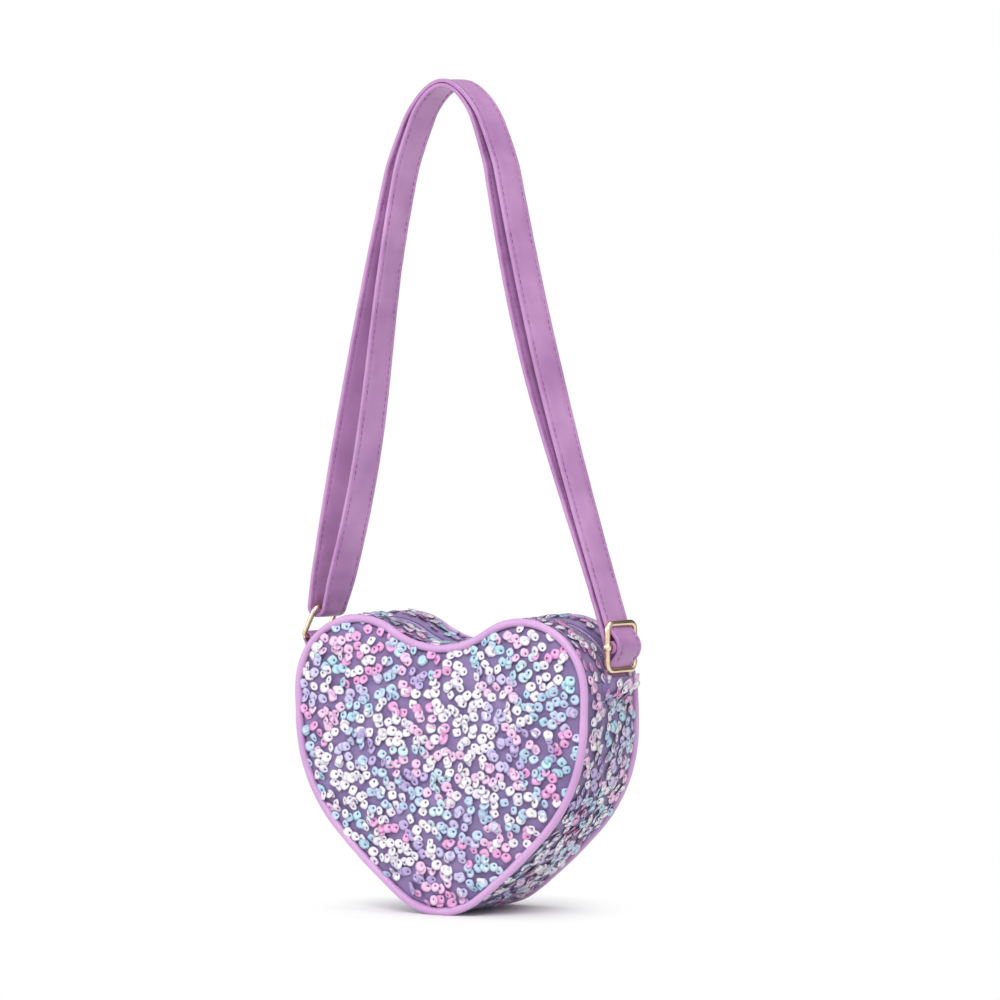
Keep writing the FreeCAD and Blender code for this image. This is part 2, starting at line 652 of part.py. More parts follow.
def make_tab():
    """Leather tab at the left seam, folded round the ring's lower bar."""
    _, bar = ring_bars()
    exit_z = above_lobes("Sizes.exit_rise")
    along = math.atan2(bar[1] - exit_z, bar[0] + seam_side())
    across = along + math.pi / 2
    corner = value("Sizes.tab + Sizes.ply_gap / 2") * math.sin(along)
    seam = (-seam_side() - corner, exit_z)
    half = value("Sizes.tab / 2 + Sizes.ply_gap / 2")
    wrap = value("Sizes.ring_wire / 2 + Sizes.tab_gap + Sizes.tab / 2")
    stops = [
        (polar(seam, -half, across), 0.0),
        (bar, wrap),
        (polar(seam, half, across), 0.0),
    ]
    sketch = strip_sketch("tab_section")
    draw_belt(sketch, stops, "Sizes.tab")
    extrude_strip("left_tab", sketch, "Sizes.tab_width", "0")


def wire_frame(label, height, width, wire, corner):
    """Rounded rectangle of round wire, standing in the YZ plane about the body's origin."""
    body = new_body(label)
    half_z = value(f"({height} - {wire}) / 2")
    half_y = value(f"({width} + {wire}) / 2")
    bend = value(corner)
    spine = new_sketch(body, "centre_line", "YZ_Plane")
    flat_y = half_y - bend
    flat_z = half_z - bend
    draw_line(spine, (0, -half_z), (flat_y, -half_z))
    draw_arc(spine, ((flat_y, -flat_z), bend, -math.pi / 2, 0.0, corner))
    draw_line(spine, (half_y, -flat_z), (half_y, flat_z))
    draw_arc(spine, ((flat_y, flat_z), bend, 0.0, math.pi / 2, corner))
    draw_line(spine, (flat_y, half_z), (-flat_y, half_z))
    draw_arc(spine, ((-flat_y, flat_z), bend, math.pi / 2, math.pi, corner))
    draw_line(spine, (-half_y, flat_z), (-half_y, -flat_z))
    draw_arc(spine, ((-flat_y, -flat_z), bend, math.pi, 1.5 * math.pi, corner))
    draw_line(spine, (-flat_y, -half_z), (0, -half_z))
    section = new_sketch(body, "section", "XZ_Plane")
    draw_circle(section, (0, -half_z), wire)
    tube = body.newObject("PartDesign::AdditivePipe", f"{label}_wire")
    tube.Profile = section
    tube.Spine = spine
    return body


def seat(primitive, plane, place):
    """Puts a solid of a body at a place on one of its planes."""
    primitive.AttachmentSupport = [(plane, "")]
    primitive.MapMode = "FlatFace"
    primitive.AttachmentOffset = Placement(place, Rotation())


def make_ring():
    """Rounded rectangular ring that hangs in the tab and holds the strap's bend."""
    width = "(Sizes.strap_width + 2 * Sizes.ring_room)"
    body = wire_frame("left_ring", "Sizes.ring_height", width, "Sizes.ring_wire", "Sizes.ring_corner")
    upper, lower = ring_bars()
    middle = Vector((upper[0] + lower[0]) / 2, 0, (upper[1] + lower[1]) / 2)
    body.Placement = Placement(middle, Rotation(Vector(0, 1, 0), value("Sizes.ring_lean")))


def make_buckle():
    """Strap slider: a wire frame, and a centre bar whose ball collars sit on the frame's sides."""
    width = "(Sizes.strap_width + 2 * Sizes.buckle_room)"
    reach = f"({width} + Sizes.buckle_wire) / 2"
    frame = wire_frame("buckle_frame", "Sizes.buckle_height", width,
                       "Sizes.buckle_wire", "Sizes.buckle_corner")
    bar = new_body("buckle_bar")
    section = new_sketch(bar, "section", "XZ_Plane", f"-({reach})")
    draw_circle(section, (0, 0), "Sizes.bar_wire")
    pad(bar, section, f"2 * ({reach})")
    half_y = value(reach)
    floor = next(item for item in bar.Origin.OriginFeatures if item.Role == "XY_Plane")
    hole_depth = value("Sizes.collar_diameter")
    for place in (-half_y, half_y):
        ball = bar.newObject("PartDesign::AdditiveSphere", "collar")
        bind(ball, Radius="Sizes.collar_diameter / 2")
        seat(ball, floor, Vector(0, place, 0))
    for place in (-half_y, half_y):
        hole = bar.newObject("PartDesign::SubtractiveCylinder", "collar_hole")
        bind(hole, Radius="Sizes.buckle_wire / 2 + Sizes.collar_fit", Height="Sizes.collar_diameter * 2")
        seat(hole, floor, Vector(0, place, -hole_depth))
    turned = Rotation(Vector(0, 0, 1), -value("Sizes.strap_turn"))
    _, (x, z), _ = buckle_bars()
    middle = Vector(x, 0, z)
    frame.Placement = Placement(middle, turned)
    bar.Placement = Placement(middle, turned)


# The whole purse

def check_and_write():
    """Stops on any failed object, then writes each piece to its own file."""
    for item in doc.Objects:
        if "Invalid" in item.State or "Error" in item.State:
            raise RuntimeError(f"{item.Name} failed: {item.State}")
    for piece in pieces:
        if piece.Shape.isNull() or not piece.Shape.isValid() or not piece.Shape.Solids:
            raise RuntimeError(f"{piece.Label} has no sound solid")
    os.makedirs("parts", exist_ok=True)
    for piece in pieces:
        piece.Shape.exportStep(os.path.join("parts", f"{piece.Label}.step"))


make_panels("front", True)
make_panels("back", False)
make_piping("front_piping", True)
make_piping("back_piping", False)
make_gussets()
make_teeth("zip_teeth_front", -1)
make_teeth("zip_teeth_back", 1)
make_stops()
make_slider()
make_pull()
make_tab()
make_ring()
make_strap()
make_buckle()
doc.recompute()
check_and_write()
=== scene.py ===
"""Heart shaped sequin purse: soft pieces, trimmings, materials, floor, light and camera."""
import bpy
import math
import numpy as np
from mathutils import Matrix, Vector


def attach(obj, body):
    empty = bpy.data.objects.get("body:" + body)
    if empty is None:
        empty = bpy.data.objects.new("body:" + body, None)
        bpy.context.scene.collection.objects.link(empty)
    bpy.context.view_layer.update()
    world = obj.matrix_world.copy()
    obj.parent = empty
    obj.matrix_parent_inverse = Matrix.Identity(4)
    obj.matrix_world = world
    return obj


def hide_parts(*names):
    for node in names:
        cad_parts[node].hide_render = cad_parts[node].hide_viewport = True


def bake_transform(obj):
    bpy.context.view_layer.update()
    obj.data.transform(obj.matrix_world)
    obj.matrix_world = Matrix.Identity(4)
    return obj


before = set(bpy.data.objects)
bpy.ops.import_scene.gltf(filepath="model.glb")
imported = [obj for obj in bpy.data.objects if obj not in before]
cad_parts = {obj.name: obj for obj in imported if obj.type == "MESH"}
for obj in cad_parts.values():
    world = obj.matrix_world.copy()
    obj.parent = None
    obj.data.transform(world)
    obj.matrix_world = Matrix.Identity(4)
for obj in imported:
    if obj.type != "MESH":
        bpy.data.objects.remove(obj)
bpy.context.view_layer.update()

MM = 0.001
TAU = 2 * math.pi

# Sizes of the bag in millimetres, the same as the solids'
LOBE_SPREAD = 113.0
LOBE_RADIUS = 42.5
NOTCH_RADIUS = 59.0
SIDE_RADIUS, SIDE_TURN = 500.0, math.radians(2.5)
SHOULDER_RADIUS, SHOULDER_TURN = 99.0, math.radians(41.0)
FLANK_RADIUS, FLANK_TURN = 380.0, math.radians(9.0)
PIPING_RADIUS = 2.75
FOOT_CUT = 1.0
SEAM_Y = 37.25
ZIP_END = math.radians(8.0)
OUTLINE_STEP = 2.0
LOBE_ARC, ZIP_ARC = 4, 5
FACE_MIDDLE = (0.0, 98.0)


# Helpers for meshes

def new_object(name, data):
    """Object in the scene for a mesh, light or camera."""
    thing = bpy.data.objects.new(name, data)
    bpy.context.scene.collection.objects.link(thing)
    return thing


def new_piece(name, points, faces, material, smooth=True):
    """Mesh object from points in millimetres, with its place in its mesh."""
    mesh = bpy.data.meshes.new(name)
    mesh.from_pydata((np.asarray(points, float) * MM).tolist(), [], faces)
    mesh.validate()
    mesh.polygons.foreach_set("use_smooth", [smooth] * len(mesh.polygons))
    if material:
        mesh.materials.append(material)
    return new_object(name, mesh)


def set_uv(piece, per_vertex):
    """UV map from one pair of millimetre coordinates for each vertex, kept in metres."""
    layer = piece.data.uv_layers.new(name="cloth")
    corners = np.empty(len(piece.data.loops), dtype=np.int32)
    piece.data.loops.foreach_get("vertex_index", corners)
    pairs = np.asarray(per_vertex, float)[corners] * MM
    layer.data.foreach_set("uv", pairs.ravel())


def grid_faces(rows, columns, closed_rows=False, closed_columns=False):
    """Quads of a grid of points, counted row by row."""
    faces = []
    for row in range(rows if closed_rows else rows - 1):
        this, below = row * columns, (row + 1) % rows * columns
        for column in range(columns if closed_columns else columns - 1):
            right = (column + 1) % columns
            faces.append((this + column, this + right, below + right, below + column))
    return faces


def face_outwards(piece):
    """Turns the faces of a closed shell outwards."""
    bpy.context.view_layer.objects.active = piece
    bpy.ops.object.mode_set(mode="EDIT")
    bpy.ops.mesh.select_all(action="SELECT")
    bpy.ops.mesh.normals_make_consistent(inside=False)
    bpy.ops.object.mode_set(mode="OBJECT")


def tube_piece(name, rows, material, closed=False):
    """Piece from rings of points: closed to a loop, or with its two ends filled."""
    count = len(rows[0])
    faces = grid_faces(len(rows), count, closed_rows=closed, closed_columns=True)
    if not closed:
        faces += [tuple(range(count)), tuple(range((len(rows) - 1) * count, len(rows) * count))]
    piece = new_piece(name, np.vstack(rows), faces, material)
    face_outwards(piece)
    return piece


def sheet_piece(name, sheets, top, borders, pairs, material):
    """Thin closed piece from the points of its two sheets, the faces of one, and the borders that join them."""
    size = len(sheets[0])
    faces = top + [tuple(size + corner for corner in face[::-1]) for face in top]
    for border in borders:
        for first, second in zip(border.tolist(), np.roll(border, -1).tolist()):
            faces.append((first, second, second + size, first + size))
    piece = new_piece(name, np.vstack(sheets), faces, material)
    if pairs is not None:
        set_uv(piece, np.vstack([pairs, pairs]))
    face_outwards(piece)
    return piece


def strip_sheets(name, sheets, rows, columns, pairs, material):
    """Thin closed piece from two grids of points."""
    number = np.arange(rows * columns).reshape(rows, columns)
    border = np.concatenate([number[0], number[1:, -1], number[-1, -2::-1], number[-2:0:-1, 0]])
    return sheet_piece(name, sheets, grid_faces(rows, columns), [border], pairs, material)


def every_pair(first, second):
    """Each number of one list with each of another, as two long lists."""
    return [table.ravel() for table in np.meshgrid(first, second, indexing="ij")]


def unit(vectors):
    """Vectors at length one."""
    return vectors / np.linalg.norm(vectors, axis=1, keepdims=True)


def run_length(points):
    """Length along a line at each of its points."""
    return np.concatenate([[0.0], np.cumsum(np.linalg.norm(np.diff(points, axis=0), axis=1))])


def stood(flat, across):
    """Points of the bag's middle plane at their places across the bag."""
    return np.column_stack([flat[:, 0], np.broadcast_to(across, len(flat)), flat[:, 1]])


def ripple(places, wave, seed, terms=7):
    """Smooth random height for each place, about -1 to 1, with bumps of the given wavelength."""
    draws = np.random.default_rng(seed)
    total = np.zeros(len(places))
    for _ in range(terms):
        heading = draws.normal(size=places.shape[1])
        heading *= draws.uniform(0.7, 1.4) * TAU / wave / np.linalg.norm(heading)
        total += np.sin(places @ heading + draws.uniform(0, TAU))
    return total / math.sqrt(2 * terms)


# Outline of the heart

def around(centre, radius, angle):
    """Point at an angle round a centre."""
    return (centre[0] + radius * math.cos(angle), centre[1] + radius * math.sin(angle))


def heart_arcs():
    """Arcs of the right half from the tip to the notch: centre, radius, first and last angle, side."""
    shoulder_end = SIDE_TURN + SHOULDER_TURN
    flank_end = shoulder_end + FLANK_TURN
    lobe = (LOBE_SPREAD / 2, 0.0)
    side = around(lobe, LOBE_RADIUS - SIDE_RADIUS, 0.0)
    shoulder = around(side, SIDE_RADIUS - SHOULDER_RADIUS, -SIDE_TURN)
    flank = around(shoulder, SHOULDER_RADIUS - FLANK_RADIUS, -shoulder_end)
    tip_radius = FLANK_RADIUS + flank[0] / math.cos(flank_end)
    tip = around(flank, FLANK_RADIUS - tip_radius, -flank_end)
    notch_rise = math.sqrt((LOBE_RADIUS + NOTCH_RADIUS) ** 2 - lobe[0] ** 2)
    notch_angle = math.atan2(notch_rise, -lobe[0])
    lift = PIPING_RADIUS - FOOT_CUT - (tip[1] - tip_radius)
    arcs = [
        (tip, tip_radius, -math.pi / 2, -flank_end, 1),
        (flank, FLANK_RADIUS, -flank_end, -shoulder_end, 1),
        (shoulder, SHOULDER_RADIUS, -shoulder_end, -SIDE_TURN, 1),
        (side, SIDE_RADIUS, -SIDE_TURN, 0.0, 1),
        (lobe, LOBE_RADIUS, 0.0, ZIP_END, 1),
        (lobe, LOBE_RADIUS, ZIP_END, notch_angle, 1),
        ((0.0, notch_rise), NOTCH_RADIUS, notch_angle - math.pi, -math.pi / 2, -1),
    ]
    return [((x, z + lift), radius, first, last, side) for (x, z), radius, first, last, side in arcs]


class Outline:
    """Closed line of the piping's centre: points, outward normals and length along it from the tip."""

    def __init__(self):
        places, normals = [], []
        zip_start = 0
        for number, (centre, radius, first, last, side) in enumerate(heart_arcs()):
            count = max(2, round(abs(last - first) * radius / OUTLINE_STEP))
            if number == ZIP_ARC:
                zip_start = len(places)
            for step in range(count):
                angle = first + (last - first) * step / count
                places.append(around(centre, radius, angle))
                normals.append((side * math.cos(angle), side * math.sin(angle)))
        right = np.array(places)
        right_normals = np.array(normals)
        notch = np.array([[0.0, heart_arcs()[-1][0][1] - NOTCH_RADIUS]])
        mirror = np.array([-1.0, 1.0])
        self.points = np.vstack([right, notch, right[:0:-1] * mirror])
        self.normals = np.vstack([right_normals, [[0.0, 1.0]], right_normals[:0:-1] * mirror])
        self.count = len(self.points)
        self.length = run_length(np.vstack([self.points, self.points[:1]]))
        self.total = self.length[-1]
        self.zip_from = self.length[zip_start]

    def moved(self, inset):
        """The line moved inwards."""
        return self.points - self.normals * inset

    def at(self, length):
        """Points and normals at lengths along the line."""
        spot = np.mod(length, self.total)
        pairs = []
        for table in (self.points, self.normals):
            closed = np.vstack([table, table[:1]])
            pairs.append(np.stack([np.interp(spot, self.length, closed[:, axis]) for axis in (0, 1)], axis=1))
        return pairs[0], unit(pairs[1])

    def depth_inside(self, places):
        """How far each place lies inside the line; negative is outside."""
        starts = self.points
        runs = np.roll(starts, -1, axis=0) - starts
        best = np.full(len(places), np.inf)
        inside = np.zeros(len(places), dtype=bool)
        for start, run in zip(starts, runs):
            gap = places - start
            share = np.clip(gap @ run / (run @ run), 0, 1)
            best = np.minimum(best, np.linalg.norm(gap - share[:, None] * run, axis=1))
            crosses = (gap[:, 1] >= 0) != (gap[:, 1] - run[1] >= 0)
            if abs(run[1]) > 1e-9:
                inside ^= crosses & (gap[:, 0] < run[0] * gap[:, 1] / run[1])
        return np.where(inside, best, -best)


HEART = Outline()


# Materials

def linear(code, alpha=1.0):
    """sRGB hex colour as linear numbers."""
    parts = [int(code[place:place + 2], 16) / 255 for place in (0, 2, 4)]
    return tuple(p / 12.92 if p <= 0.04045 else ((p + 0.055) / 1.055) ** 2.4 for p in parts) + (alpha,)


def add(tree, kind, settings=None, links=None, **sockets):
    """Node with its properties, links to its inputs by name or number, and values of inputs by name."""
    node = tree.nodes.new(kind)
    for name, setting in (settings or {}).items():
        setattr(node, name, setting)
    for name, number in sockets.items():
        node.inputs[name.replace("_", " ")].default_value = number
    for name, source in (links or {}).items():
        tree.links.new(source, node.inputs[name])
    return node


def plug(tree, node, numbered):
    """Inputs of a node by number, each from another node's output or with a plain value."""
    for index, source in numbered:
        if isinstance(source, bpy.types.NodeSocket):
            tree.links.new(source, node.inputs[index])
        else:
            node.inputs[index].default_value = source


def combine(tree, operation, *sources, kind="ShaderNodeMath", output="Value"):
    """Result of a math node on outputs and plain numbers."""
    node = add(tree, kind, {"operation": operation})
    plug(tree, node, enumerate(sources))
    return node.outputs[output]


def in_range(tree, source, low, high, start=0.0, end=1.0):
    """A number that runs from start to end, moved to run from low to high."""
    node = add(tree, "ShaderNodeMapRange")
    plug(tree, node, enumerate((source, start, end, low, high)))
    return node.outputs["Result"]


def mix_colours(tree, share, first, second, blend="MIX"):
    """Mix of two colours by a share."""
    node = add(tree, "ShaderNodeMix", {"data_type": "RGBA", "blend_type": blend})
    plug(tree, node, ((0, share), (6, first), (7, second)))
    return node.outputs[2]


def ramp(tree, source, stops, interpolation="LINEAR"):
    """Colour ramp over a number, from pairs of a place and a hex colour."""
    node = add(tree, "ShaderNodeValToRGB", None, {"Fac": source})
    band = node.color_ramp
    band.interpolation = interpolation
    for index, (place, code) in enumerate(stops):
        inner = 0 < index < len(stops) - 1
        element = band.elements.new(place) if inner else band.elements[-1 if index else 0]
        element.position = place
        element.color = linear(code)
    return node.outputs["Color"]


def noise(tree, spot, scale, detail=2.0):
    """Cloudy number at each spot, its scale in clouds per metre."""
    return add(tree, "ShaderNodeTexNoise", None, {"Vector": spot}, Scale=scale, Detail=detail).outputs["Fac"]


def ribs(tree, spot, axis, pitch, distortion, detail):
    """Wave along an axis, its pitch in millimetres."""
    return add(tree, "ShaderNodeTexWave", {"bands_direction": axis}, {"Vector": spot},
               Scale=TAU / (20 * pitch * MM), Distortion=distortion, Detail=detail).outputs["Fac"]


def bump(tree, height, strength, depth, under=None):
    """Normal of a bumpy surface, its depth in millimetres, on top of another bump where one is given."""
    links = {"Height": height, "Normal": under} if under else {"Height": height}
    return add(tree, "ShaderNodeBump", None, links, Strength=strength, Distance=depth * MM).outputs["Normal"]


def new_material(name):
    """Empty node material, its tree and the coordinates in it."""
    material = bpy.data.materials.new(name)
    material.use_nodes = True
    material.node_tree.nodes.clear()
    return material, material.node_tree, add(material.node_tree, "ShaderNodeTexCoord").outputs


def close_material(tree, links, **sockets):
    """Principled surface with its inputs, and the output."""
    shader = add(tree, "ShaderNodeBsdfPrincipled", None, links, **sockets)
    add(tree, "ShaderNodeOutputMaterial", None, {"Surface": shader.outputs["BSDF"]})


def net_cloth(name, thread, shade):
    """Polyester net on a plain weave backing: a fine diagonal mesh, soft and slightly shiny.

    The net's real pitch is about 0.8 mm; it is drawn at 1.1 mm so that it shows in the render.
    """
    pitch = 1.1
    material, tree, spots = new_material(name)
    turned = add(tree, "ShaderNodeMapping", None, {"Vector": spots["UV"]}, Rotation=(0, 0, math.radians(45)))
    threads = [ribs(tree, turned.outputs["Vector"], axis, pitch, 0.6, 1.0) for axis in ("X", "Y")]
    mesh = combine(tree, "MAXIMUM", *threads)
    tone = ramp(tree, mesh, [(0.45, shade), (0.95, thread)])
    varied = mix_colours(tree, 0.55, tone, noise(tree, spots["Object"], 60.0, 3.0), "SOFT_LIGHT")
    close_material(tree, {"Base Color": varied, "Normal": bump(tree, mesh, 0.35, 0.15)},
                   Roughness=0.75, Sheen_Weight=0.35, Sheen_Roughness=0.4)
    return material


def coated_leather(name, face, deep, roughness, wrinkle):
    """Polyurethane coated cloth: smooth, satin, with a very fine pebble and faint cross wrinkles.

    The pebble's grains are about 0.4 mm and the wrinkles lie about 6 mm apart.
    """
    material, tree, spots = new_material(name)
    pebble = add(tree, "ShaderNodeTexVoronoi", {"feature": "SMOOTH_F1"}, {"Vector": spots["Object"]},
                 Scale=1 / (0.45 * MM))
    stretched = add(tree, "ShaderNodeMapping", None, {"Vector": spots["UV"]}, Scale=(0.35, 1.0, 1.0))
    folds = noise(tree, stretched.outputs["Vector"], 1 / (6 * MM))
    tone = ramp(tree, noise(tree, spots["Object"], 28.0, 4.0), [(0.3, deep), (0.7, face)])
    fine = bump(tree, pebble.outputs["Distance"], 0.12, 0.05)
    close_material(tree, {"Base Color": tone, "Normal": bump(tree, folds, wrinkle, 0.5, fine)},
                   Roughness=roughness, Coat_Weight=0.15, Coat_Roughness=0.35, Sheen_Weight=0.1)
    return material


def plated_gold(name):
    """Pale gold plate on die cast zinc: polished, with faint clouds of wear about 9 mm across."""
    material, tree, spots = new_material(name)
    scuff = noise(tree, spots["Object"], 1 / (9 * MM))
    tone = ramp(tree, scuff, [(0.35, "E6CCA6"), (0.65, "F0DDBE")])
    close_material(tree, {"Base Color": tone, "Roughness": in_range(tree, scuff, 0.12, 0.2)}, Metallic=1.0)
    return material


def sequin_film(name):
    """Pearl coated PET film: its own tint on every disc, glossy with a milky body, and painted shade darkening
    the disc's cut rim and the edge of its hole.
    """
    material, tree, spots = new_material(name)
    pearl = noise(tree, spots["Object"], 1 / (3 * MM))
    tint = add(tree, "ShaderNodeAttribute", {"attribute_name": "tint"}).outputs["Color"]
    body = mix_colours(tree, in_range(tree, pearl, 0.0, 0.45, 0.4, 0.68), tint, linear("D2C4E4"))
    rim = add(tree, "ShaderNodeAttribute", {"attribute_name": "rim"}).outputs["Fac"]
    # Painted shade: where rim is 1, at the outer cut edge and the hole's edge, the colour is darkened towards
    # 75628F over the last few tenths of a millimetre.
    rim_shade = in_range(tree, combine(tree, "POWER", rim, 4.0), 0.0, 0.55)
    rimmed = mix_colours(tree, rim_shade, body, linear("75628F"))
    close_material(tree, {"Base Color": rimmed, "Roughness": in_range(tree, pearl, 0.22, 0.42)},
                   Coat_Weight=0.5, Coat_Roughness=0.12, IOR=1.57)
    return material


def woven_tape(name, thread, shade):
    """Polyester zip tape: a herringbone weave with a dull sheen, ribs about 0.9 mm apart."""
    material, tree, spots = new_material(name)
    weave = ribs(tree, spots["UV"], "Y", 0.9, 1.2, 2.0)
    tone = ramp(tree, weave, [(0.2, shade), (0.8, thread)])
    close_material(tree, {"Base Color": tone, "Normal": bump(tree, weave, 0.5, 0.15)},
                   Roughness=0.8, Sheen_Weight=0.2)
    return material


def moulded_nylon(name):
    """Nylon coil: translucent looking, smooth and a little glossy, with cloudy colour about 4 mm across."""
    material, tree, spots = new_material(name)
    tone = ramp(tree, noise(tree, spots["Object"], 1 / (4 * MM)), [(0.3, "A98CC0"), (0.7, "C4ACD6")])
    close_material(tree, {"Base Color": tone}, Roughness=0.35, IOR=1.53)
    return material


def spun_thread(name, dark, light):
    """Polyester sewing thread: dull, with a twist about 0.6 mm long."""
    material, tree, spots = new_material(name)
    tone = ramp(tree, noise(tree, spots["Object"], 1 / (0.6 * MM)), [(0.3, dark), (0.7, light)])
    close_material(tree, {"Base Color": tone}, Roughness=0.7, Sheen_Weight=0.2)
    return material


def open_sponge(name):
    """Polyurethane sponge: off-white, dull and full of pores about 0.8 mm wide, with painted shade darkening
    the pores.
    """
    material, tree, spots = new_material(name)
    pores = add(tree, "ShaderNodeTexVoronoi", None, {"Vector": spots["Object"]}, Scale=1 / (0.8 * MM))
    depth = pores.outputs["Distance"]
    # Painted shade: the pores' hollows take the darker colour, the walls between them the lighter.
    tone = ramp(tree, depth, [(0.2, "C9C4B8"), (0.6, "EFECE4")])
    close_material(tree, {"Base Color": tone, "Normal": bump(tree, depth, 0.6, 0.3)}, Roughness=0.95)
    return material


NET_CLOTH = net_cloth("polyester_net", "8F7BAA", "74618F")
LINING_CLOTH = woven_tape("lining_taffeta", "8E6FA8", "775A92")
TAPE_CLOTH = woven_tape("zip_tape_polyester", "C6B2DA", "A991C4")
PIPING_LEATHER = coated_leather("piping_coated_cloth", "D0A4D3", "C394C8", 0.42, 0.25)
STRAP_LEATHER = coated_leather("strap_coated_cloth", "C592C4", "AA76AC", 0.46, 0.6)
GOLD = plated_gold("plated_gold")
SEQUIN_FILM = sequin_film("sequin_pearl_film")
COIL_NYLON = moulded_nylon("zip_coil_nylon")
STITCH_THREAD = spun_thread("strap_stitch_thread", "7C4A86", "96639E")
SPONGE = open_sponge("interlining_sponge")


# Soft layers of the bag

SIDES = (("front", -1), ("back", 1))
PANEL_EDGE, SPONGE_EDGE, LINING_EDGE = 1.4, 3.0, 5.8
PANEL_RINGS = 36
SKIN, SPONGE_PLY, LINING_PLY, TAPE_PLY, PLY_GAP = 1.2, 3.0, 0.8, 0.7, 0.1
FACE_Y, TUCK, TUCK_REACH = 34.9, 2.3, 2.6
CROWN, CROWN_REACH = 6.0, 62.0
PUCKER, PUCKER_WAVE, PUCKER_REACH = 0.5, 16.0, 10.0
SLACK, SLACK_WAVE = 0.8, 48.0
BACK_LEAN, LEAN_FOOT, LEAN_RISE, LEAN_FROM, LEAN_OVER = 9.0, 35.0, 110.0, 12.0, 25.0
ZIP_SLOT, TAPE_SLOT, TAPE_EDGE, ZIP_LINING_SLOT = 6.0, 2.7, 11.0, 7.2
GUSSET_EDGE, LAYER_EDGE = 35.0, 33.2
GUSSET_INSET, GUSSET_TUCK = 0.3, 0.6
GUSSET_SPONGE_INSET, GUSSET_SPONGE_PLY, GUSSET_LINING_INSET = 1.9, 2.7, 4.7
TAPE_INSET, ZIP_LINING_INSET = 1.6, 2.5
CORD_RADIUS, CORD_SINK, LAP_RISE, LAP_LENGTH = 2.45, 0.2, 0.22, 9.0


def settle(points):
    """Points of the bag as it stands: the soft back leans forwards above the foot, as far as the zip."""
    points = np.array(points, float)
    rise = np.clip((points[:, 2] - LEAN_FOOT) / LEAN_RISE, 0, 1) ** 1.3
    points[:, 1] -= BACK_LEAN * rise * np.clip((points[:, 1] - LEAN_FROM) / LEAN_OVER, 0, 1)
    return points


def face_swell(places, side):
    """Distance of a face's cloth from the middle plane: tucked in at the seam, crowned by the sponge."""
    depth = np.clip(HEART.depth_inside(places) - PANEL_EDGE, 0, None)
    tuck = 1 - np.exp(-depth / TUCK_REACH)
    crown = 1 - (1 - np.clip(depth / CROWN_REACH, 0, 1)) ** 2
    pucker = PUCKER * ripple(places, PUCKER_WAVE, 11 + side) * np.exp(-depth / PUCKER_REACH)
    slack = SLACK * ripple(places, SLACK_WAVE, 21 + side) * crown
    return FACE_Y + TUCK * tuck + CROWN * crown + (pucker + slack) * tuck


def face_layer(name, side, deeper, thickness, inset, material):
    """Heart shaped layer of one face: side -1 is the front, 1 the back."""
    edge = HEART.moved(inset)
    middle = np.array([FACE_MIDDLE])
    shares = 1 - (np.arange(PANEL_RINGS) / PANEL_RINGS) ** 1.6
    places = np.vstack([middle + (edge - middle) * share for share in shares] + [middle])
    swell = face_swell(places, side) - deeper
    sheets = [settle(stood(places, side * (swell - depth))) for depth in (0.0, thickness)]
    count = HEART.count
    last = (PANEL_RINGS - 1) * count
    top = grid_faces(PANEL_RINGS, count, closed_columns=True)
    top += [(last + index, last + (index + 1) % count, last + count) for index in range(count)]
    return sheet_piece(name, sheets, top, [np.arange(count)], places, material)


def strip_layer(name, lengths, across, inset_at, thickness, material):
    """Layer along the outline: lengths from the tip, places across the bag and an inset for each point."""
    along, wide = every_pair(lengths, across)
    places, normals = HEART.at(along)
    inset = inset_at(places, wide)
    sheets = [settle(stood(places - normals * (inset + depth)[:, None], wide)) for depth in (0.0, thickness)]
    return strip_sheets(name, sheets, len(lengths), len(across), np.column_stack([along, wide]), material)


def puffed_inset(places, wide, share, rise, puff, waves):
    """Inset of a gusset's cloth: puffed where it may rise, with slack waves, and tucked under the piping."""
    spots = np.column_stack([places, wide])
    slack = sum(size * ripple(spots, wave, seed) for size, wave, seed in waves)
    return GUSSET_INSET - (puff + slack) * rise + GUSSET_TUCK * share ** 8


def lower_inset(places, wide):
    """Inset of the lower gusset, crowned from piping to piping."""
    share = np.abs(wide) / GUSSET_EDGE
    return puffed_inset(places, wide, share, 1 - share ** 2, 1.4, ((0.7, 38.0, 31), (0.35, 15.0, 32)))


def upper_inset(places, wide):
    """Inset of a zip gusset half, puffed between the piping and the zip's slot."""
    share = np.clip((np.abs(wide) - ZIP_SLOT) / (GUSSET_EDGE - ZIP_SLOT), 0, 1)
    rise = np.sin(math.pi * share)
    return puffed_inset(places, wide, share, rise, 1.1, ((0.8, 30.0, 33), (0.3, 13.0, 34)))


def flat_inset(inset):
    """The same inset all over, for layers that lie under others."""
    return lambda places, wide: np.full(len(places), inset)


def bag_piece(piece, slot, *nodes):
    """A soft piece of the bag that stands for its solids."""
    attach(piece, "bag")
    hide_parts(*nodes)
    return piece


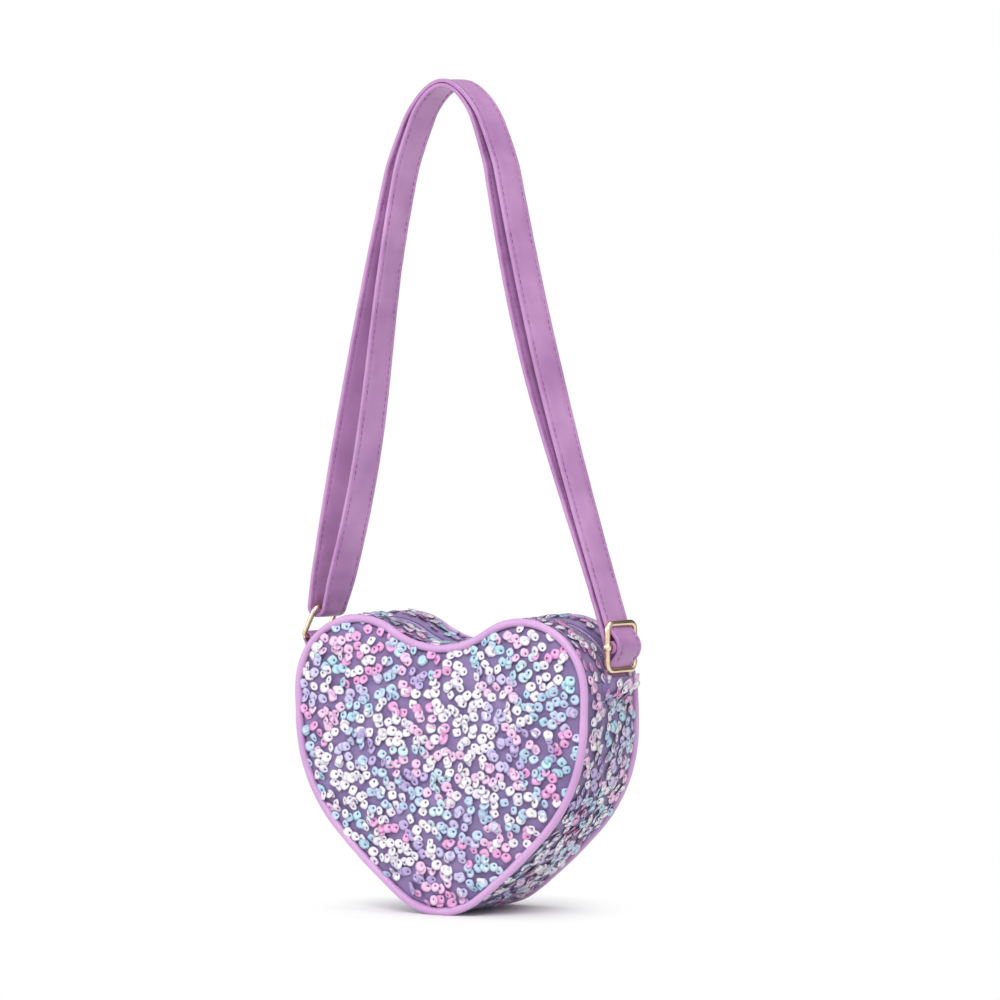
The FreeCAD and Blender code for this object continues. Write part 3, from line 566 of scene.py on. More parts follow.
def make_layers():
    """Cloth, sponge and lining of the faces, the gusset and the zip gusset."""
    under_sponge = SKIN + SPONGE_PLY + 2 * PLY_GAP
    for end, side in SIDES:
        for name, deeper, ply, inset, material, slot, node in (
                ("cloth", 0.0, SKIN, PANEL_EDGE, NET_CLOTH, "sequin_mesh", "panel"),
                ("sponge", SKIN + PLY_GAP, SPONGE_PLY, SPONGE_EDGE, SPONGE, "sponge", "foam"),
                ("lining_cloth", under_sponge, LINING_PLY, LINING_EDGE, LINING_CLOTH, "lining", "lining")):
            bag_piece(face_layer(f"{end}_{name}", side, deeper, ply, inset, material), slot, f"{end}_{node}")
    lower = np.linspace(-HEART.zip_from, HEART.zip_from, 190)
    upper = np.linspace(HEART.zip_from, HEART.total - HEART.zip_from, 190)
    across = np.linspace(-GUSSET_EDGE, GUSSET_EDGE, 29)
    inner = np.linspace(-LAYER_EDGE, LAYER_EDGE, 9)
    for name, wide, inset_at, ply, material, slot, node in (
            ("cloth", across, lower_inset, SKIN, NET_CLOTH, "sequin_mesh", "lower_gusset"),
            ("sponge", inner, flat_inset(GUSSET_SPONGE_INSET), GUSSET_SPONGE_PLY, SPONGE,
             "sponge", "gusset_foam"),
            ("lining_cloth", inner, flat_inset(GUSSET_LINING_INSET), LINING_PLY, LINING_CLOTH,
             "lining", "gusset_lining")):
        bag_piece(strip_layer(f"gusset_{name}", lower, wide, inset_at, ply, material), slot, node)
    half = np.linspace(ZIP_SLOT, GUSSET_EDGE, 17)
    tape = np.linspace(TAPE_SLOT, TAPE_EDGE, 5)
    inner = np.linspace(ZIP_LINING_SLOT, LAYER_EDGE, 7)
    for end, side in SIDES:
        for name, wide, inset_at, ply, material, slot in (
                ("gusset", half, upper_inset, SKIN, NET_CLOTH, "sequin_mesh"),
                ("tape", tape, flat_inset(TAPE_INSET), TAPE_PLY, TAPE_CLOTH, "zip_tape"),
                ("lining", inner, flat_inset(ZIP_LINING_INSET), LINING_PLY, LINING_CLOTH, "lining")):
            bag_piece(strip_layer(f"zip_{name}_cloth_{end}", upper, side * wide, inset_at, ply, material),
                      slot, f"zip_{name}_{end}")


def make_pipings():
    """Covered cords: round, a little uneven, with an overlap at the tip, flat where they stand."""
    sides = 16
    turns = np.arange(sides) * TAU / sides
    for name, side in SIDES:
        spots = np.column_stack([HEART.points, np.full(HEART.count, side * 60.0)])
        lap = LAP_RISE * ((HEART.length[:-1] > 0) & (HEART.length[:-1] < LAP_LENGTH))
        radius = CORD_RADIUS + 0.09 * ripple(spots, 14.0, 41) + lap
        rings, pairs = [], []
        for place, normal, reach, length in zip(HEART.points, HEART.normals, radius, HEART.length):
            outs = [place + normal * (reach * math.cos(turn) - CORD_SINK) for turn in turns]
            rings.append(settle([(out[0], side * (SEAM_Y - CORD_SINK + reach * math.sin(turn)),
                                  max(out[1], 0.0)) for out, turn in zip(outs, turns)]))
            pairs += [(turn * CORD_RADIUS, length) for turn in turns]
        piece = tube_piece(f"{name}_cord", rings, PIPING_LEATHER, closed=True)
        set_uv(piece, pairs)
        bag_piece(piece, "piping", f"{name}_piping")


# Strap, ring and buckle

STRAP_WIDTH, STRAP_PLY, STRAP_TURN = 24.0, 2.4, 6.5
STRAP_GAP, LOOP_GAP, TAB_GAP = 0.3, 0.15, 0.05
LOBE_Z = heart_arcs()[LOBE_ARC][0][1]
SEAM_X = LOBE_SPREAD / 2 + LOBE_RADIUS
BUCKLE = (SEAM_X + 5.5, LOBE_Z + 27.2)
BUCKLE_HEIGHT, BUCKLE_WIRE, BUCKLE_CORNER, BUCKLE_ROOM = 31.6, 3.2, 4.6, 1.0
BALL_RADIUS, BUCKLE_WIRE_SHOWN = 2.8, 3.6
RING_TOP = (-SEAM_X - 1.5, LOBE_Z + 47.2)
RING_HEIGHT, RING_WIRE, RING_CORNER, RING_ROOM = 23.4, 3.0, 3.5, 0.75
RING_LEAN = math.radians(26.0)
RING_LOW = around(RING_TOP, -(RING_HEIGHT - RING_WIRE), math.pi / 2 - RING_LEAN)
APEX = (-10.8, LOBE_Z + 338.8)
APEX_RADIUS, APEX_INNER_RADIUS = 32.0, 26.0
APEX_INNER = (APEX[0] - 0.8, APEX[1] + APEX_RADIUS - APEX_INNER_RADIUS - STRAP_PLY - STRAP_GAP)
EXIT_Z = LOBE_Z + 5.0
TAB_WIDTH, TAB_PLY, TAB_STITCH = 20.0, 1.6, 2.6
ROUTE_STEP, LOOP_SLACK = 2.5, 3.5
EXIT_BEND, EXIT_SHIFT = 2.5, 0.3
RING_LOOP = 4.0
END_WRAP = math.radians(290.0)
ARCH_SPAN, ARCH_SQUEEZE, ARCH_POWER = 55.0, 0.38, 1.6


def tangent_angle(first, second):
    """Angle of the normal of the line that leaves one circle and meets the next, with signed radii."""
    (ax, az), a_radius = first
    (bx, bz), b_radius = second
    span = math.hypot(bx - ax, bz - az)
    return math.atan2(bz - az, bx - ax) + math.acos((b_radius - a_radius) / span)


def belt_route(stops, last_wrap=None, bows=None):
    """Centre line of a strip round circles: its points, and the number of the run that each belongs to.

    Positive radii turn left, negative right, zero is an end; bows gives runs a sideways bend.
    """
    angles = [tangent_angle(first, second) for first, second in zip(stops, stops[1:])]
    points, runs = [], []
    for index, angle in enumerate(angles):
        (start, start_radius), (end, end_radius) = stops[index], stops[index + 1]
        first = np.array(around(start, -start_radius, angle))
        last = np.array(around(end, -end_radius, angle))
        count = max(2, round(np.linalg.norm(last - first) / ROUTE_STEP))
        bend = (bows or {}).get(index)
        for step in range(count):
            share = step / count
            place = first + (last - first) * share
            points.append((place[0] + (bend(share) if bend else 0.0), place[1]))
            runs.append(index + share)
        following = angles[index + 1] if index + 1 < len(angles) else None
        if following is None and last_wrap is None:
            points.append(tuple(last))
            runs.append(index + 1.0)
            break
        turn = last_wrap if following is None else following - angle
        left = end_radius > 0
        turn = turn % TAU if left else -((-turn) % TAU)
        begin = angle + math.pi if left else angle
        steps = max(3, round(abs(turn) / math.radians(9)))
        for step in range(steps):
            points.append(around(end, abs(end_radius), begin + turn * step / steps))
            runs.append(index + 1.0)
        if following is None:
            points.append(around(end, abs(end_radius), begin + turn))
            runs.append(index + 1.0)
    return np.array(points), np.array(runs)


def strip_section(width, thickness, stitch):
    """Section of a folded strip: rounded edges with a crease between the plies and sunk stitch lines."""
    half, ply = width / 2, thickness / 2
    corner = [(half - 0.25, 0.0), (half, 0.3 * ply), (half - 0.1, 0.65 * ply), (half - 0.55, 0.93 * ply)]
    face = [(half - 1.2, ply)]
    if stitch:
        face += [(stitch + 0.7, ply), (stitch, ply - 0.28), (stitch - 0.7, 0.97 * ply)]
    face += [(half * 0.35, 0.9 * ply)]
    quarter = corner + face
    upper = quarter + [(-u, v) for u, v in reversed(quarter)]
    lower = [(u, -v) for u, v in reversed(upper[1:-1])]
    return np.array(upper + lower)


def strip_frames(route, turns):
    """Centres, width directions and face directions along a route in the bag's middle plane."""
    centres = stood(route, 0.0)
    along = unit(np.gradient(centres, axis=0))
    angle = np.radians(turns)
    wide = np.column_stack([np.sin(angle), np.cos(angle), np.zeros(len(route))])
    return centres, wide, unit(np.cross(along, wide))


def strip_piece(name, frames, section, material, wave=0.0):
    """Closed strip with its section swept along its frames."""
    centres, wide, facing = frames
    length, around_section = run_length(centres), run_length(section)
    points, pairs = [], []
    for row in range(len(centres)):
        spots = np.column_stack([section[:, 0] * 0.5, np.full(len(section), length[row])])
        lift = wave * ripple(spots, 17.0, 51) * (1 - (section[:, 0] / section[:, 0].max()) ** 4)
        points.append(centres[row] + section[:, :1] * wide[row]
                      + (section[:, 1] + lift)[:, None] * facing[row])
        pairs += [(place, length[row]) for place in around_section]
    piece = tube_piece(name, points, material)
    set_uv(piece, pairs)
    return piece


def strap_stops():
    """Circles that the strap runs round, from the right seam to its end on the buckle's centre bar."""
    half = BUCKLE_HEIGHT / 2 - BUCKLE_WIRE / 2
    past_bar = BUCKLE_WIRE / 2 + STRAP_GAP + STRAP_PLY / 2
    end_loop = BUCKLE_WIRE / 2 + LOOP_GAP + STRAP_PLY / 2
    past_loop = end_loop + STRAP_PLY + STRAP_GAP
    exit_x = SEAM_X + STRAP_WIDTH / 2 * math.sin(math.radians(STRAP_TURN))
    return [
        ((exit_x, EXIT_Z), 0.0),
        ((exit_x + EXIT_SHIFT, EXIT_Z + EXIT_BEND), EXIT_BEND),
        ((BUCKLE[0], BUCKLE[1] - half), -past_bar),
        ((BUCKLE[0] - LOOP_SLACK, BUCKLE[1]), past_loop + LOOP_SLACK),
        ((BUCKLE[0], BUCKLE[1] + half), -past_bar),
        (APEX, APEX_RADIUS),
        (RING_TOP, RING_LOOP + STRAP_PLY / 2),
        (APEX_INNER, -APEX_INNER_RADIUS),
        (BUCKLE, end_loop),
    ]


def bow(size, power=1.0):
    """Sideways bend of a run, largest in its middle."""
    return lambda share: size * math.sin(math.pi * share) ** power


STRAP_BOWS = {
    2: bow(0.4),
    3: bow(0.4),
    4: bow(-5.6),
    5: bow(-2.9, 0.8),
    6: lambda share: 2.6 * math.sin(math.pi * share) + 3.2 * math.sin(TAU * share),
    7: lambda share: -5.5 * math.sin(math.pi * share) ** 1.6 - 7.0 * math.sin(math.pi * share) * (1 - share),
}
STRAP_TURNS = ((0, 6.5), (4, 6.5), (4.5, 14.0), (5, 11.0), (5.3, 13.5), (5.7, 13.0),
               (5.94, 11.0), (6, 6.0), (6.06, 14.0), (6.4, 11.5), (6.7, 5.5), (7, 9.0), (7.5, 14.0), (8, 6.5))
STITCH_LINE = 9.0


def make_strap():
    """The strap's strip, and the lines that its stitches follow on both faces."""
    route, runs = belt_route(strap_stops(), END_WRAP, STRAP_BOWS)
    crown = np.clip((route[:, 1] - APEX[1] - APEX_RADIUS) / ARCH_SPAN + 1, 0, 1)
    route[:, 0] += (APEX[0] - route[:, 0]) * ARCH_SQUEEZE * crown ** ARCH_POWER
    turns = np.interp(runs, *zip(*STRAP_TURNS))
    frames = strip_frames(route, turns)
    section = strip_section(STRAP_WIDTH, STRAP_PLY, STITCH_LINE)
    piece = strip_piece("strap_strip", frames, section, STRAP_LEATHER, wave=0.5)
    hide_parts("shoulder_strap")
    centres, wide, facing = frames
    lines = []
    for edge in (-STITCH_LINE, STITCH_LINE):
        for side in (-1, 1):
            lines.append((centres + wide * edge + facing * side * (STRAP_PLY / 2 - 0.2), facing * side))
    return piece, lines


def make_tab():
    """Leather tab at the left seam, folded round the ring's lower bar."""
    along = math.atan2(RING_LOW[1] - EXIT_Z, RING_LOW[0] + SEAM_X)
    across = along + math.pi / 2
    seam = (-SEAM_X - (TAB_PLY + TAB_GAP) * math.sin(along), EXIT_Z)
    half = TAB_PLY / 2 + TAB_GAP
    wrap = RING_WIRE / 2 + LOOP_GAP + TAB_PLY / 2
    stops = [(around(seam, -half, across), 0.0), (RING_LOW, wrap), (around(seam, half, across), 0.0)]
    route, _ = belt_route(stops)
    frames = strip_frames(route, np.zeros(len(route)))
    section = strip_section(TAB_WIDTH, TAB_PLY, TAB_WIDTH / 2 - TAB_STITCH)
    piece = strip_piece("ring_tab", frames, section, STRAP_LEATHER)
    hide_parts("left_tab")
    return piece


def wire_loop(width, height, wire, corner):
    """Centre line of a rounded rectangle of wire in the YZ plane, with its outward directions."""
    half_y, half_z = (width + wire) / 2, (height - wire) / 2
    points, outward = [], []
    for quarter in range(4):
        sign_y = 1 if quarter in (0, 3) else -1
        sign_z = 1 if quarter in (0, 1) else -1
        for step in range(9):
            angle = quarter * math.pi / 2 + step * math.pi / 16
            points.append((sign_y * (half_y - corner) + corner * math.cos(angle),
                           sign_z * (half_z - corner) + corner * math.sin(angle)))
            outward.append((math.cos(angle), math.sin(angle)))
    return np.array(points), np.array(outward)


def placed(point, place, turn, lean=0.0):
    """A point turned about Z, leant about Y and moved to a place in the bag's middle plane."""
    x, y, z = point
    x, y = x * math.cos(turn) - y * math.sin(turn), x * math.sin(turn) + y * math.cos(turn)
    return (x * math.cos(lean) + z * math.sin(lean) + place[0], y,
            -x * math.sin(lean) + z * math.cos(lean) + place[1])


def wire_piece(name, loop, wire, place, turn, lean):
    """Round wire along a loop, at its place."""
    section = [around((0.0, 0.0), wire / 2, angle) for angle in np.arange(16) * TAU / 16]
    rings = []
    for (y, z), (out_y, out_z) in zip(*loop):
        rings.append([placed((x, y + out_y * reach, z + out_z * reach), place, turn, lean)
                      for reach, x in section])
    return tube_piece(name, rings, GOLD, closed=True)


def metal_piece(piece, node):
    """A metal piece that moves with the strap and stands for its solid."""
    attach(piece, "strap")
    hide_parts(node)


def make_fittings():
    """Ring, buckle frame and the buckle's centre bar with its ball collars."""
    loop = wire_loop(STRAP_WIDTH + 2 * RING_ROOM, RING_HEIGHT, RING_WIRE, RING_CORNER)
    middle = ((RING_TOP[0] + RING_LOW[0]) / 2, (RING_TOP[1] + RING_LOW[1]) / 2)
    metal_piece(wire_piece("ring_wire", loop, RING_WIRE, middle, 0.0, RING_LEAN), "left_ring")
    loop = wire_loop(STRAP_WIDTH + 2 * BUCKLE_ROOM, BUCKLE_HEIGHT, BUCKLE_WIRE, BUCKLE_CORNER)
    turn = -math.radians(STRAP_TURN)
    metal_piece(wire_piece("buckle_wire", loop, BUCKLE_WIRE_SHOWN, BUCKLE, turn, 0.0), "buckle_frame")
    reach = (STRAP_WIDTH + 2 * BUCKLE_ROOM + BUCKLE_WIRE) / 2
    bar = BUCKLE_WIRE / 2
    profile = []
    for step in range(13):
        angle = math.pi * step / 12
        profile.append((-reach - BALL_RADIUS * math.cos(angle), max(BALL_RADIUS * math.sin(angle), 0.02)))
    profile = [(y, radius) for y, radius in profile if y < -reach or radius > bar]
    profile += [(-y, radius) for y, radius in reversed(profile)]
    turns = np.arange(20) * TAU / 20
    rings = [[placed((radius * math.cos(angle), y, radius * math.sin(angle)), BUCKLE, turn) for angle in turns]
             for y, radius in profile]
    metal_piece(tube_piece("buckle_centre_bar", rings, GOLD), "buckle_bar")


# What repeats: sequins, stitches and zip coils

SEQUIN_RADIUS, SEQUIN_HOLE = 3.1, 0.58
SEQUIN_PITCH, SEQUIN_LIFT, SEQUIN_STRAY, SEQUIN_RUN = 5.6, 1.0, 2.8, 6.0
SEQUIN_SHAPES = (("sequin_cup", 0.45, 0.1, 0.02), ("sequin_curl", 0.15, 0.6, 0.07),
                 ("sequin_flat", 0.12, 0.0, 0.1))
SEQUIN_TILTS = ((-0.18, 0.06, 0.0), (0.18, 0.5, TAU))
SEQUIN_TINTS = ("F7F4F8", "F3C4E6", "F0ECF6", "A9DCEA", "F8F2F4", "EC9AD3",
                "C6E6EE", "F3F0F7", "B7D6EE", "B6A2DA", "F6F3FA", "C9C3EA")
SEWING_WAVE, SEWING_CELL = 13.0, 2.0
HEM_FOOT, HEM_TOP, HEM_HALF = 127.0, 145.4, 15.0
HEM_RISE, HEM_BULGE, HEM_SINK, HEM_SEWN = 13.0, 7.8, 0.8, 12.5
HEM_LINES = ((130.5, -0.5), (134.5, -0.7), (138.5, -0.3), (141.8, 0.0))
STITCH_PITCH = 4.2
COIL_PITCH, COIL_INSET, COIL_Y = 1.5, 1.95, 1.15
COIL_END = math.radians(4.0)


def new_tree(name, sizes):
    """Geometry tree with a geometry input, a named number for each size, and a geometry output."""
    tree = bpy.data.node_groups.new(name, "GeometryNodeTree")
    tree.interface.new_socket(name="Geometry", in_out="INPUT", socket_type="NodeSocketGeometry")
    for label in sizes:
        tree.interface.new_socket(name=label, in_out="INPUT", socket_type="NodeSocketFloat")
    tree.interface.new_socket(name="Geometry", in_out="OUTPUT", socket_type="NodeSocketGeometry")
    return tree, add(tree, "NodeGroupInput")


def close_tree(tree, instances, material):
    """Realizes the instances, gives them their material and ends the tree."""
    real = add(tree, "GeometryNodeRealizeInstances", None, {"Geometry": instances})
    dressed = add(tree, "GeometryNodeSetMaterial", None, {"Geometry": real.outputs["Geometry"]},
                  Material=material)
    add(tree, "NodeGroupOutput", None, {"Geometry": dressed.outputs["Geometry"]})


def grow(piece, tree, sizes):
    """Turns a piece into the plain mesh that a tree makes of it."""
    modifier = piece.modifiers.new("grown", "NODES")
    modifier.node_group = tree
    for item in tree.interface.items_tree:
        if item.in_out == "INPUT" and item.name in sizes:
            modifier[item.identifier] = sizes[item.name]
    seen = piece.evaluated_get(bpy.context.evaluated_depsgraph_get())
    mesh = bpy.data.meshes.new_from_object(seen)
    piece.modifiers.clear()
    lines = piece.data
    piece.data = mesh
    bpy.data.meshes.remove(lines)
    mesh.polygons.foreach_set("use_smooth", [True] * len(mesh.polygons))
    return piece


def line_piece(name, points, edges, facing):
    """Edges on a surface, with the direction that the surface faces at each point."""
    mesh = bpy.data.meshes.new(name)
    mesh.from_pydata((np.asarray(points) * MM).tolist(), edges, [])
    layer = mesh.attributes.new("facing", "FLOAT_VECTOR", "POINT")
    layer.data.foreach_set("vector", np.asarray(facing, float).ravel())
    return new_object(name, mesh)


def joined_lines(lines):
    """Points, edges and facing directions of separate lines, each given as its points and its facings."""
    points, edges, facing = [], [], []
    for line, normals in lines:
        start = len(points)
        edges += [(start + index, start + index + 1) for index in range(len(line) - 1)]
        points += list(line)
        facing += list(normals)
    return points, edges, facing


def spaced_points(tree, entry):
    """Start of a tree: points at the pitch along the lines, and the way that they face."""
    curve = add(tree, "GeometryNodeMeshToCurve", None, {"Mesh": entry.outputs["Geometry"]})
    spaced = add(tree, "GeometryNodeResampleCurve", {"mode": "LENGTH"},
                 {"Curve": curve.outputs["Curve"], "Length": entry.outputs["Pitch"]})
    facing = add(tree, "GeometryNodeInputNamedAttribute", {"data_type": "FLOAT_VECTOR"}, Name="facing")
    upright = add(tree, "FunctionNodeAlignRotationToVector", {"axis": "Z"},
                  {"Vector": facing.outputs["Attribute"]})
    return spaced.outputs["Curve"], facing.outputs["Attribute"], upright.outputs["Rotation"]


def random_between(tree, low, high, seed, ident=None):
    """Random vector or number for each point, from a fixed seed."""
    flat = not isinstance(low, tuple)
    node = add(tree, "FunctionNodeRandomValue", {"data_type": "FLOAT" if flat else "FLOAT_VECTOR"}, Seed=seed)
    first = 2 if flat else 0
    node.inputs[first].default_value = low
    node.inputs[first + 1].default_value = high
    if ident:
        tree.links.new(ident, node.inputs["ID"])
    return node.outputs[1 if flat else 0]


def sequin_shape(name, cup, bend, corner):
    """Closed thin disc, cupped, bent and squared as sequins become with use, hung by the hole at the origin."""
    segments, film = 12, 0.16
    rings = ((SEQUIN_HOLE, 0.0), (1.6, -0.5), (SEQUIN_RADIUS, -1.05))
    sheet = []
    for radius, shift in rings:
        for turn in np.arange(segments) * TAU / segments:
            reach = radius * (1 + (corner * math.cos(4 * turn) if radius > SEQUIN_HOLE else 0))
            x, y = reach * math.cos(turn) + shift, reach * math.sin(turn)
            lift = cup * (x * x + y * y) / SEQUIN_RADIUS ** 2 + bend * y * y / SEQUIN_RADIUS ** 2
            sheet.append((x, y, lift))
    sheets = [np.array(sheet) + np.array([0.0, 0.0, side * film / 2]) for side in (1, -1)]
    top = [face[::-1] for face in grid_faces(len(rings), segments, closed_columns=True)]
    hole = np.arange(segments)
    piece = sheet_piece(name, sheets, top, [hole + len(sheet) - segments, hole[::-1]], None, None)
    # rim is 1 on the hole's edge and on the outer edge, where the film paints shade.
    layer = piece.data.attributes.new("rim", "FLOAT", "POINT")
    layer.data.foreach_set("value", ([1.0] * segments + [0.0] * segments + [1.0] * segments) * 2)
    return piece


def sequin_tree(shapes):
    """Sequins sewn in a meandering line: tilted at random, in short runs of one tint."""
    tree, entry = new_tree("sewn_sequins", ("Pitch", "Lift", "Run", "Tilt"))
    points, facing, upright = spaced_points(tree, entry)
    vectors = {"kind": "ShaderNodeVectorMath", "output": "Vector"}
    stray = SEQUIN_STRAY * MM
    drift = random_between(tree, (-stray,) * 3, (stray,) * 3, 3)
    sunk = combine(tree, "DOT_PRODUCT", drift, facing, kind="ShaderNodeVectorMath")
    height = combine(tree, "SUBTRACT", entry.outputs["Lift"], sunk)
    raised = add(tree, "ShaderNodeVectorMath", {"operation": "SCALE"}, {"Vector": facing, "Scale": height})
    strayed = combine(tree, "ADD", raised.outputs["Vector"], drift, **vectors)
    moved = add(tree, "GeometryNodeSetPosition", None, {"Geometry": points, "Offset": strayed})
    ease = add(tree, "ShaderNodeCombineXYZ", None,
               {"X": entry.outputs["Tilt"], "Y": entry.outputs["Tilt"]}, Z=1.0)
    tilts = random_between(tree, *SEQUIN_TILTS, 4)
    eased = combine(tree, "MULTIPLY", tilts, ease.outputs["Vector"], **vectors)
    spin = add(tree, "FunctionNodeEulerToRotation", None, {"Euler": eased})
    turned = add(tree, "FunctionNodeRotateRotation", {"rotation_space": "LOCAL"},
                 {"Rotation": upright, "Rotate By": spin.outputs["Rotation"]})
    kinds = add(tree, "GeometryNodeGeometryToInstance")
    for shape in shapes:
        source = add(tree, "GeometryNodeObjectInfo", Object=shape)
        tree.links.new(source.outputs["Geometry"], kinds.inputs["Geometry"])
    pick = combine(tree, "FLOOR", random_between(tree, 0.0, len(shapes) - 0.01, 5))
    sewn = add(tree, "GeometryNodeInstanceOnPoints", None,
               {"Points": moved.outputs["Geometry"], "Instance": kinds.outputs["Instances"],
                "Instance Index": pick, "Rotation": turned.outputs["Rotation"],
                "Scale": random_between(tree, 0.9, 1.1, 6)}, Pick_Instance=True)
    order = add(tree, "GeometryNodeInputIndex")
    run = combine(tree, "FLOOR", combine(tree, "DIVIDE", order.outputs["Index"], entry.outputs["Run"]))
    tints = [(index / len(SEQUIN_TINTS), code) for index, code in enumerate(SEQUIN_TINTS)]
    tint = ramp(tree, random_between(tree, 0.0, 1.0, 7, run), tints, "CONSTANT")
    dyed = add(tree, "GeometryNodeStoreNamedAttribute", {"data_type": "FLOAT_COLOR", "domain": "INSTANCE"},
               {"Geometry": sewn.outputs["Instances"], "Value": tint}, Name="tint")
    close_tree(tree, dyed.outputs["Geometry"], SEQUIN_FILM)
    return tree


def bead_tree(name, shape, material):
    """Small shapes at a pitch along lines: X along the line, Z the way that the surface faces."""
    tree, entry = new_tree(name, ("Pitch",))
    points, _, upright = spaced_points(tree, entry)
    heading = add(tree, "GeometryNodeInputTangent")
    turned = add(tree, "FunctionNodeAlignRotationToVector", {"axis": "X", "pivot_axis": "Z"},
                 {"Rotation": upright, "Vector": heading.outputs["Tangent"]})
    source = add(tree, "GeometryNodeObjectInfo", Object=shape)
    sewn = add(tree, "GeometryNodeInstanceOnPoints", None,
               {"Points": points, "Instance": source.outputs["Geometry"],
                "Rotation": turned.outputs["Rotation"]})
    close_tree(tree, sewn.outputs["Instances"], material)
    return tree


def labyrinth(columns, rows, cell, wave, seed):
    """Random field whose zero line meanders, with its passes half a wavelength apart."""
    spectrum = np.fft.fft2(np.random.default_rng(seed).normal(size=(columns, rows)))
    reach = np.hypot(np.fft.fftfreq(columns, cell)[:, None], np.fft.fftfreq(rows, cell)[None, :]) * wave
    return np.fft.ifft2(spectrum * np.exp(-((reach - 1) / 0.16) ** 2)).real


def zero_lines(field):
    """Points, in cells, and edges of the line where a field is zero."""
    points, edges, known = [], [], {}

    def crossing(first, second):
        key = (min(first, second), max(first, second))
        if key not in known:
            share = field[key[0]] / (field[key[0]] - field[key[1]])
            known[key] = len(points)
            points.append([low + (high - low) * share for low, high in zip(*key)])
        return known[key]

    for column in range(field.shape[0] - 1):
        for row in range(field.shape[1] - 1):
            corners = ((column, row), (column + 1, row), (column + 1, row + 1), (column, row + 1))
            hits = [crossing(first, second) for first, second in zip(corners, corners[1:] + corners[:1])
                    if (field[first] > 0) != (field[second] > 0)]
            edges += [tuple(hits[start:start + 2]) for start in range(0, len(hits), 2)]
    return np.array(points), edges


def kept_lines(points, edges, keep):
    """The points that are kept and the edges between them."""
    number = np.cumsum(keep) - 1
    return points[keep], [(int(number[a]), int(number[b])) for a, b in edges if keep[a] and keep[b]]


def face_lines(side):
    """Sewing lines of the sequins on one face, and the way that the cloth faces."""
    corner, seam_clear, step = np.array([-109.0, -8.0]), 4.4, 0.5
    cells, edges = zero_lines(labyrinth(110, 100, SEWING_CELL, SEWING_WAVE, 60 + side))
    places = cells * SEWING_CELL + corner
    places, edges = kept_lines(places, edges, HEART.depth_inside(places) > seam_clear)
    swell = face_swell(places, side)
    slopes = [(face_swell(places + move, side) - swell) / step for move in step * np.eye(2)]
    facing = unit(stood(-np.column_stack(slopes), float(side)))
    return settle(stood(places, side * swell)), edges, facing


def gusset_lines():
    """Sewing lines of the sequins round the gusset, clear of the zip, the strap's ends and the floor."""
    cloth_edge, zip_edge, floor_edge = 31.0, 12.0, 7.0
    root_reach, root_half = 9.0, 15.0
    hem_reach, hem_side, hem_half = 12.0, -16.5, 5.5
    columns, rows, middle = round(HEART.total / SEWING_CELL), 34, 33.0
    cells, edges = zero_lines(labyrinth(columns, rows, SEWING_CELL, SEWING_WAVE, 67))
    along, wide = cells[:, 0] * HEART.total / columns, cells[:, 1] * SEWING_CELL - middle
    places, normals = HEART.at(along)
    upper = (along > HEART.zip_from) & (along < HEART.total - HEART.zip_from)
    inset = np.where(upper, upper_inset(places, wide), lower_inset(places, wide))
    moved = places - normals * inset[:, None]
    to_end = np.minimum(np.abs(along - HEART.zip_from), np.abs(along - HEART.total + HEART.zip_from))
    keep = (np.abs(wide) < cloth_edge) & ~(upper & (np.abs(wide) < zip_edge)) & (places[:, 1] > floor_edge)
    keep &= ~((to_end < root_reach) & (np.abs(wide) < root_half))
    keep &= ~((places[:, 0] > 0) & ~upper & (to_end < hem_reach) & (np.abs(wide - hem_side) < hem_half))
    points, kept = kept_lines(settle(stood(moved, wide)), edges, keep)
    return points, kept, stood(normals, 0.0)[keep]


def hem_surface(heights, across):
    """Points of the hem's outer face: it leaves the gusset and stands out over the strap's root."""
    rise = np.clip((heights - HEM_FOOT) / HEM_RISE, 0, 1)
    bulge = HEM_BULGE * rise ** 2 * (3 - 2 * rise) * (1 - (np.abs(across) / HEM_HALF) ** 10)
    slack = 0.3 * ripple(np.column_stack([heights, across]), 11.0, 71)
    out = SEAM_X - HEM_SINK + bulge + slack + across * math.sin(math.radians(STRAP_TURN))
    return np.column_stack([out, across, heights])


def make_hem():
    """Cloth hem at the right seam, over the strap's sewn root, and the sewing lines of its sequins."""
    rows, columns = 14, 21
    heights, across = every_pair(np.linspace(HEM_FOOT, HEM_TOP, rows),
                                 np.linspace(-HEM_HALF, HEM_HALF, columns))
    outer = hem_surface(heights, across)
    sheets = [outer, outer - np.array([SKIN, 0.0, 0.0])]
    piece = strip_sheets("strap_hem", sheets, rows, columns, np.column_stack([heights, across]), NET_CLOTH)
    across = np.linspace(-HEM_SEWN, HEM_SEWN, 14)
    lines = [(hem_surface(np.full(14, height), across), [(math.cos(lean), 0.0, math.sin(lean))] * 14)
             for height, lean in HEM_LINES]
    return piece, joined_lines(lines)


def make_sequins():
    """Sequins of the two faces, the gusset and the hem over the strap's root; the hem's pieces come back."""
    shapes = [sequin_shape(*bends) for bends in SEQUIN_SHAPES]
    tree = sequin_tree(shapes)
    sizes = {"Pitch": SEQUIN_PITCH * MM, "Lift": SEQUIN_LIFT * MM, "Run": SEQUIN_RUN}
    for name, lines, tilt in (("front", face_lines(-1), 1.0), ("back", face_lines(1), 1.0),
                              ("gusset", gusset_lines(), 0.5)):
        piece = grow(line_piece(f"{name}_sequins", *lines), tree, {**sizes, "Tilt": tilt})
        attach(piece, "bag")
    hem, lines = make_hem()
    soft = [hem, grow(line_piece("hem_sequins", *lines), tree, {**sizes, "Tilt": 0.4})]
    for shape in shapes:
        bpy.data.objects.remove(shape)
    return soft


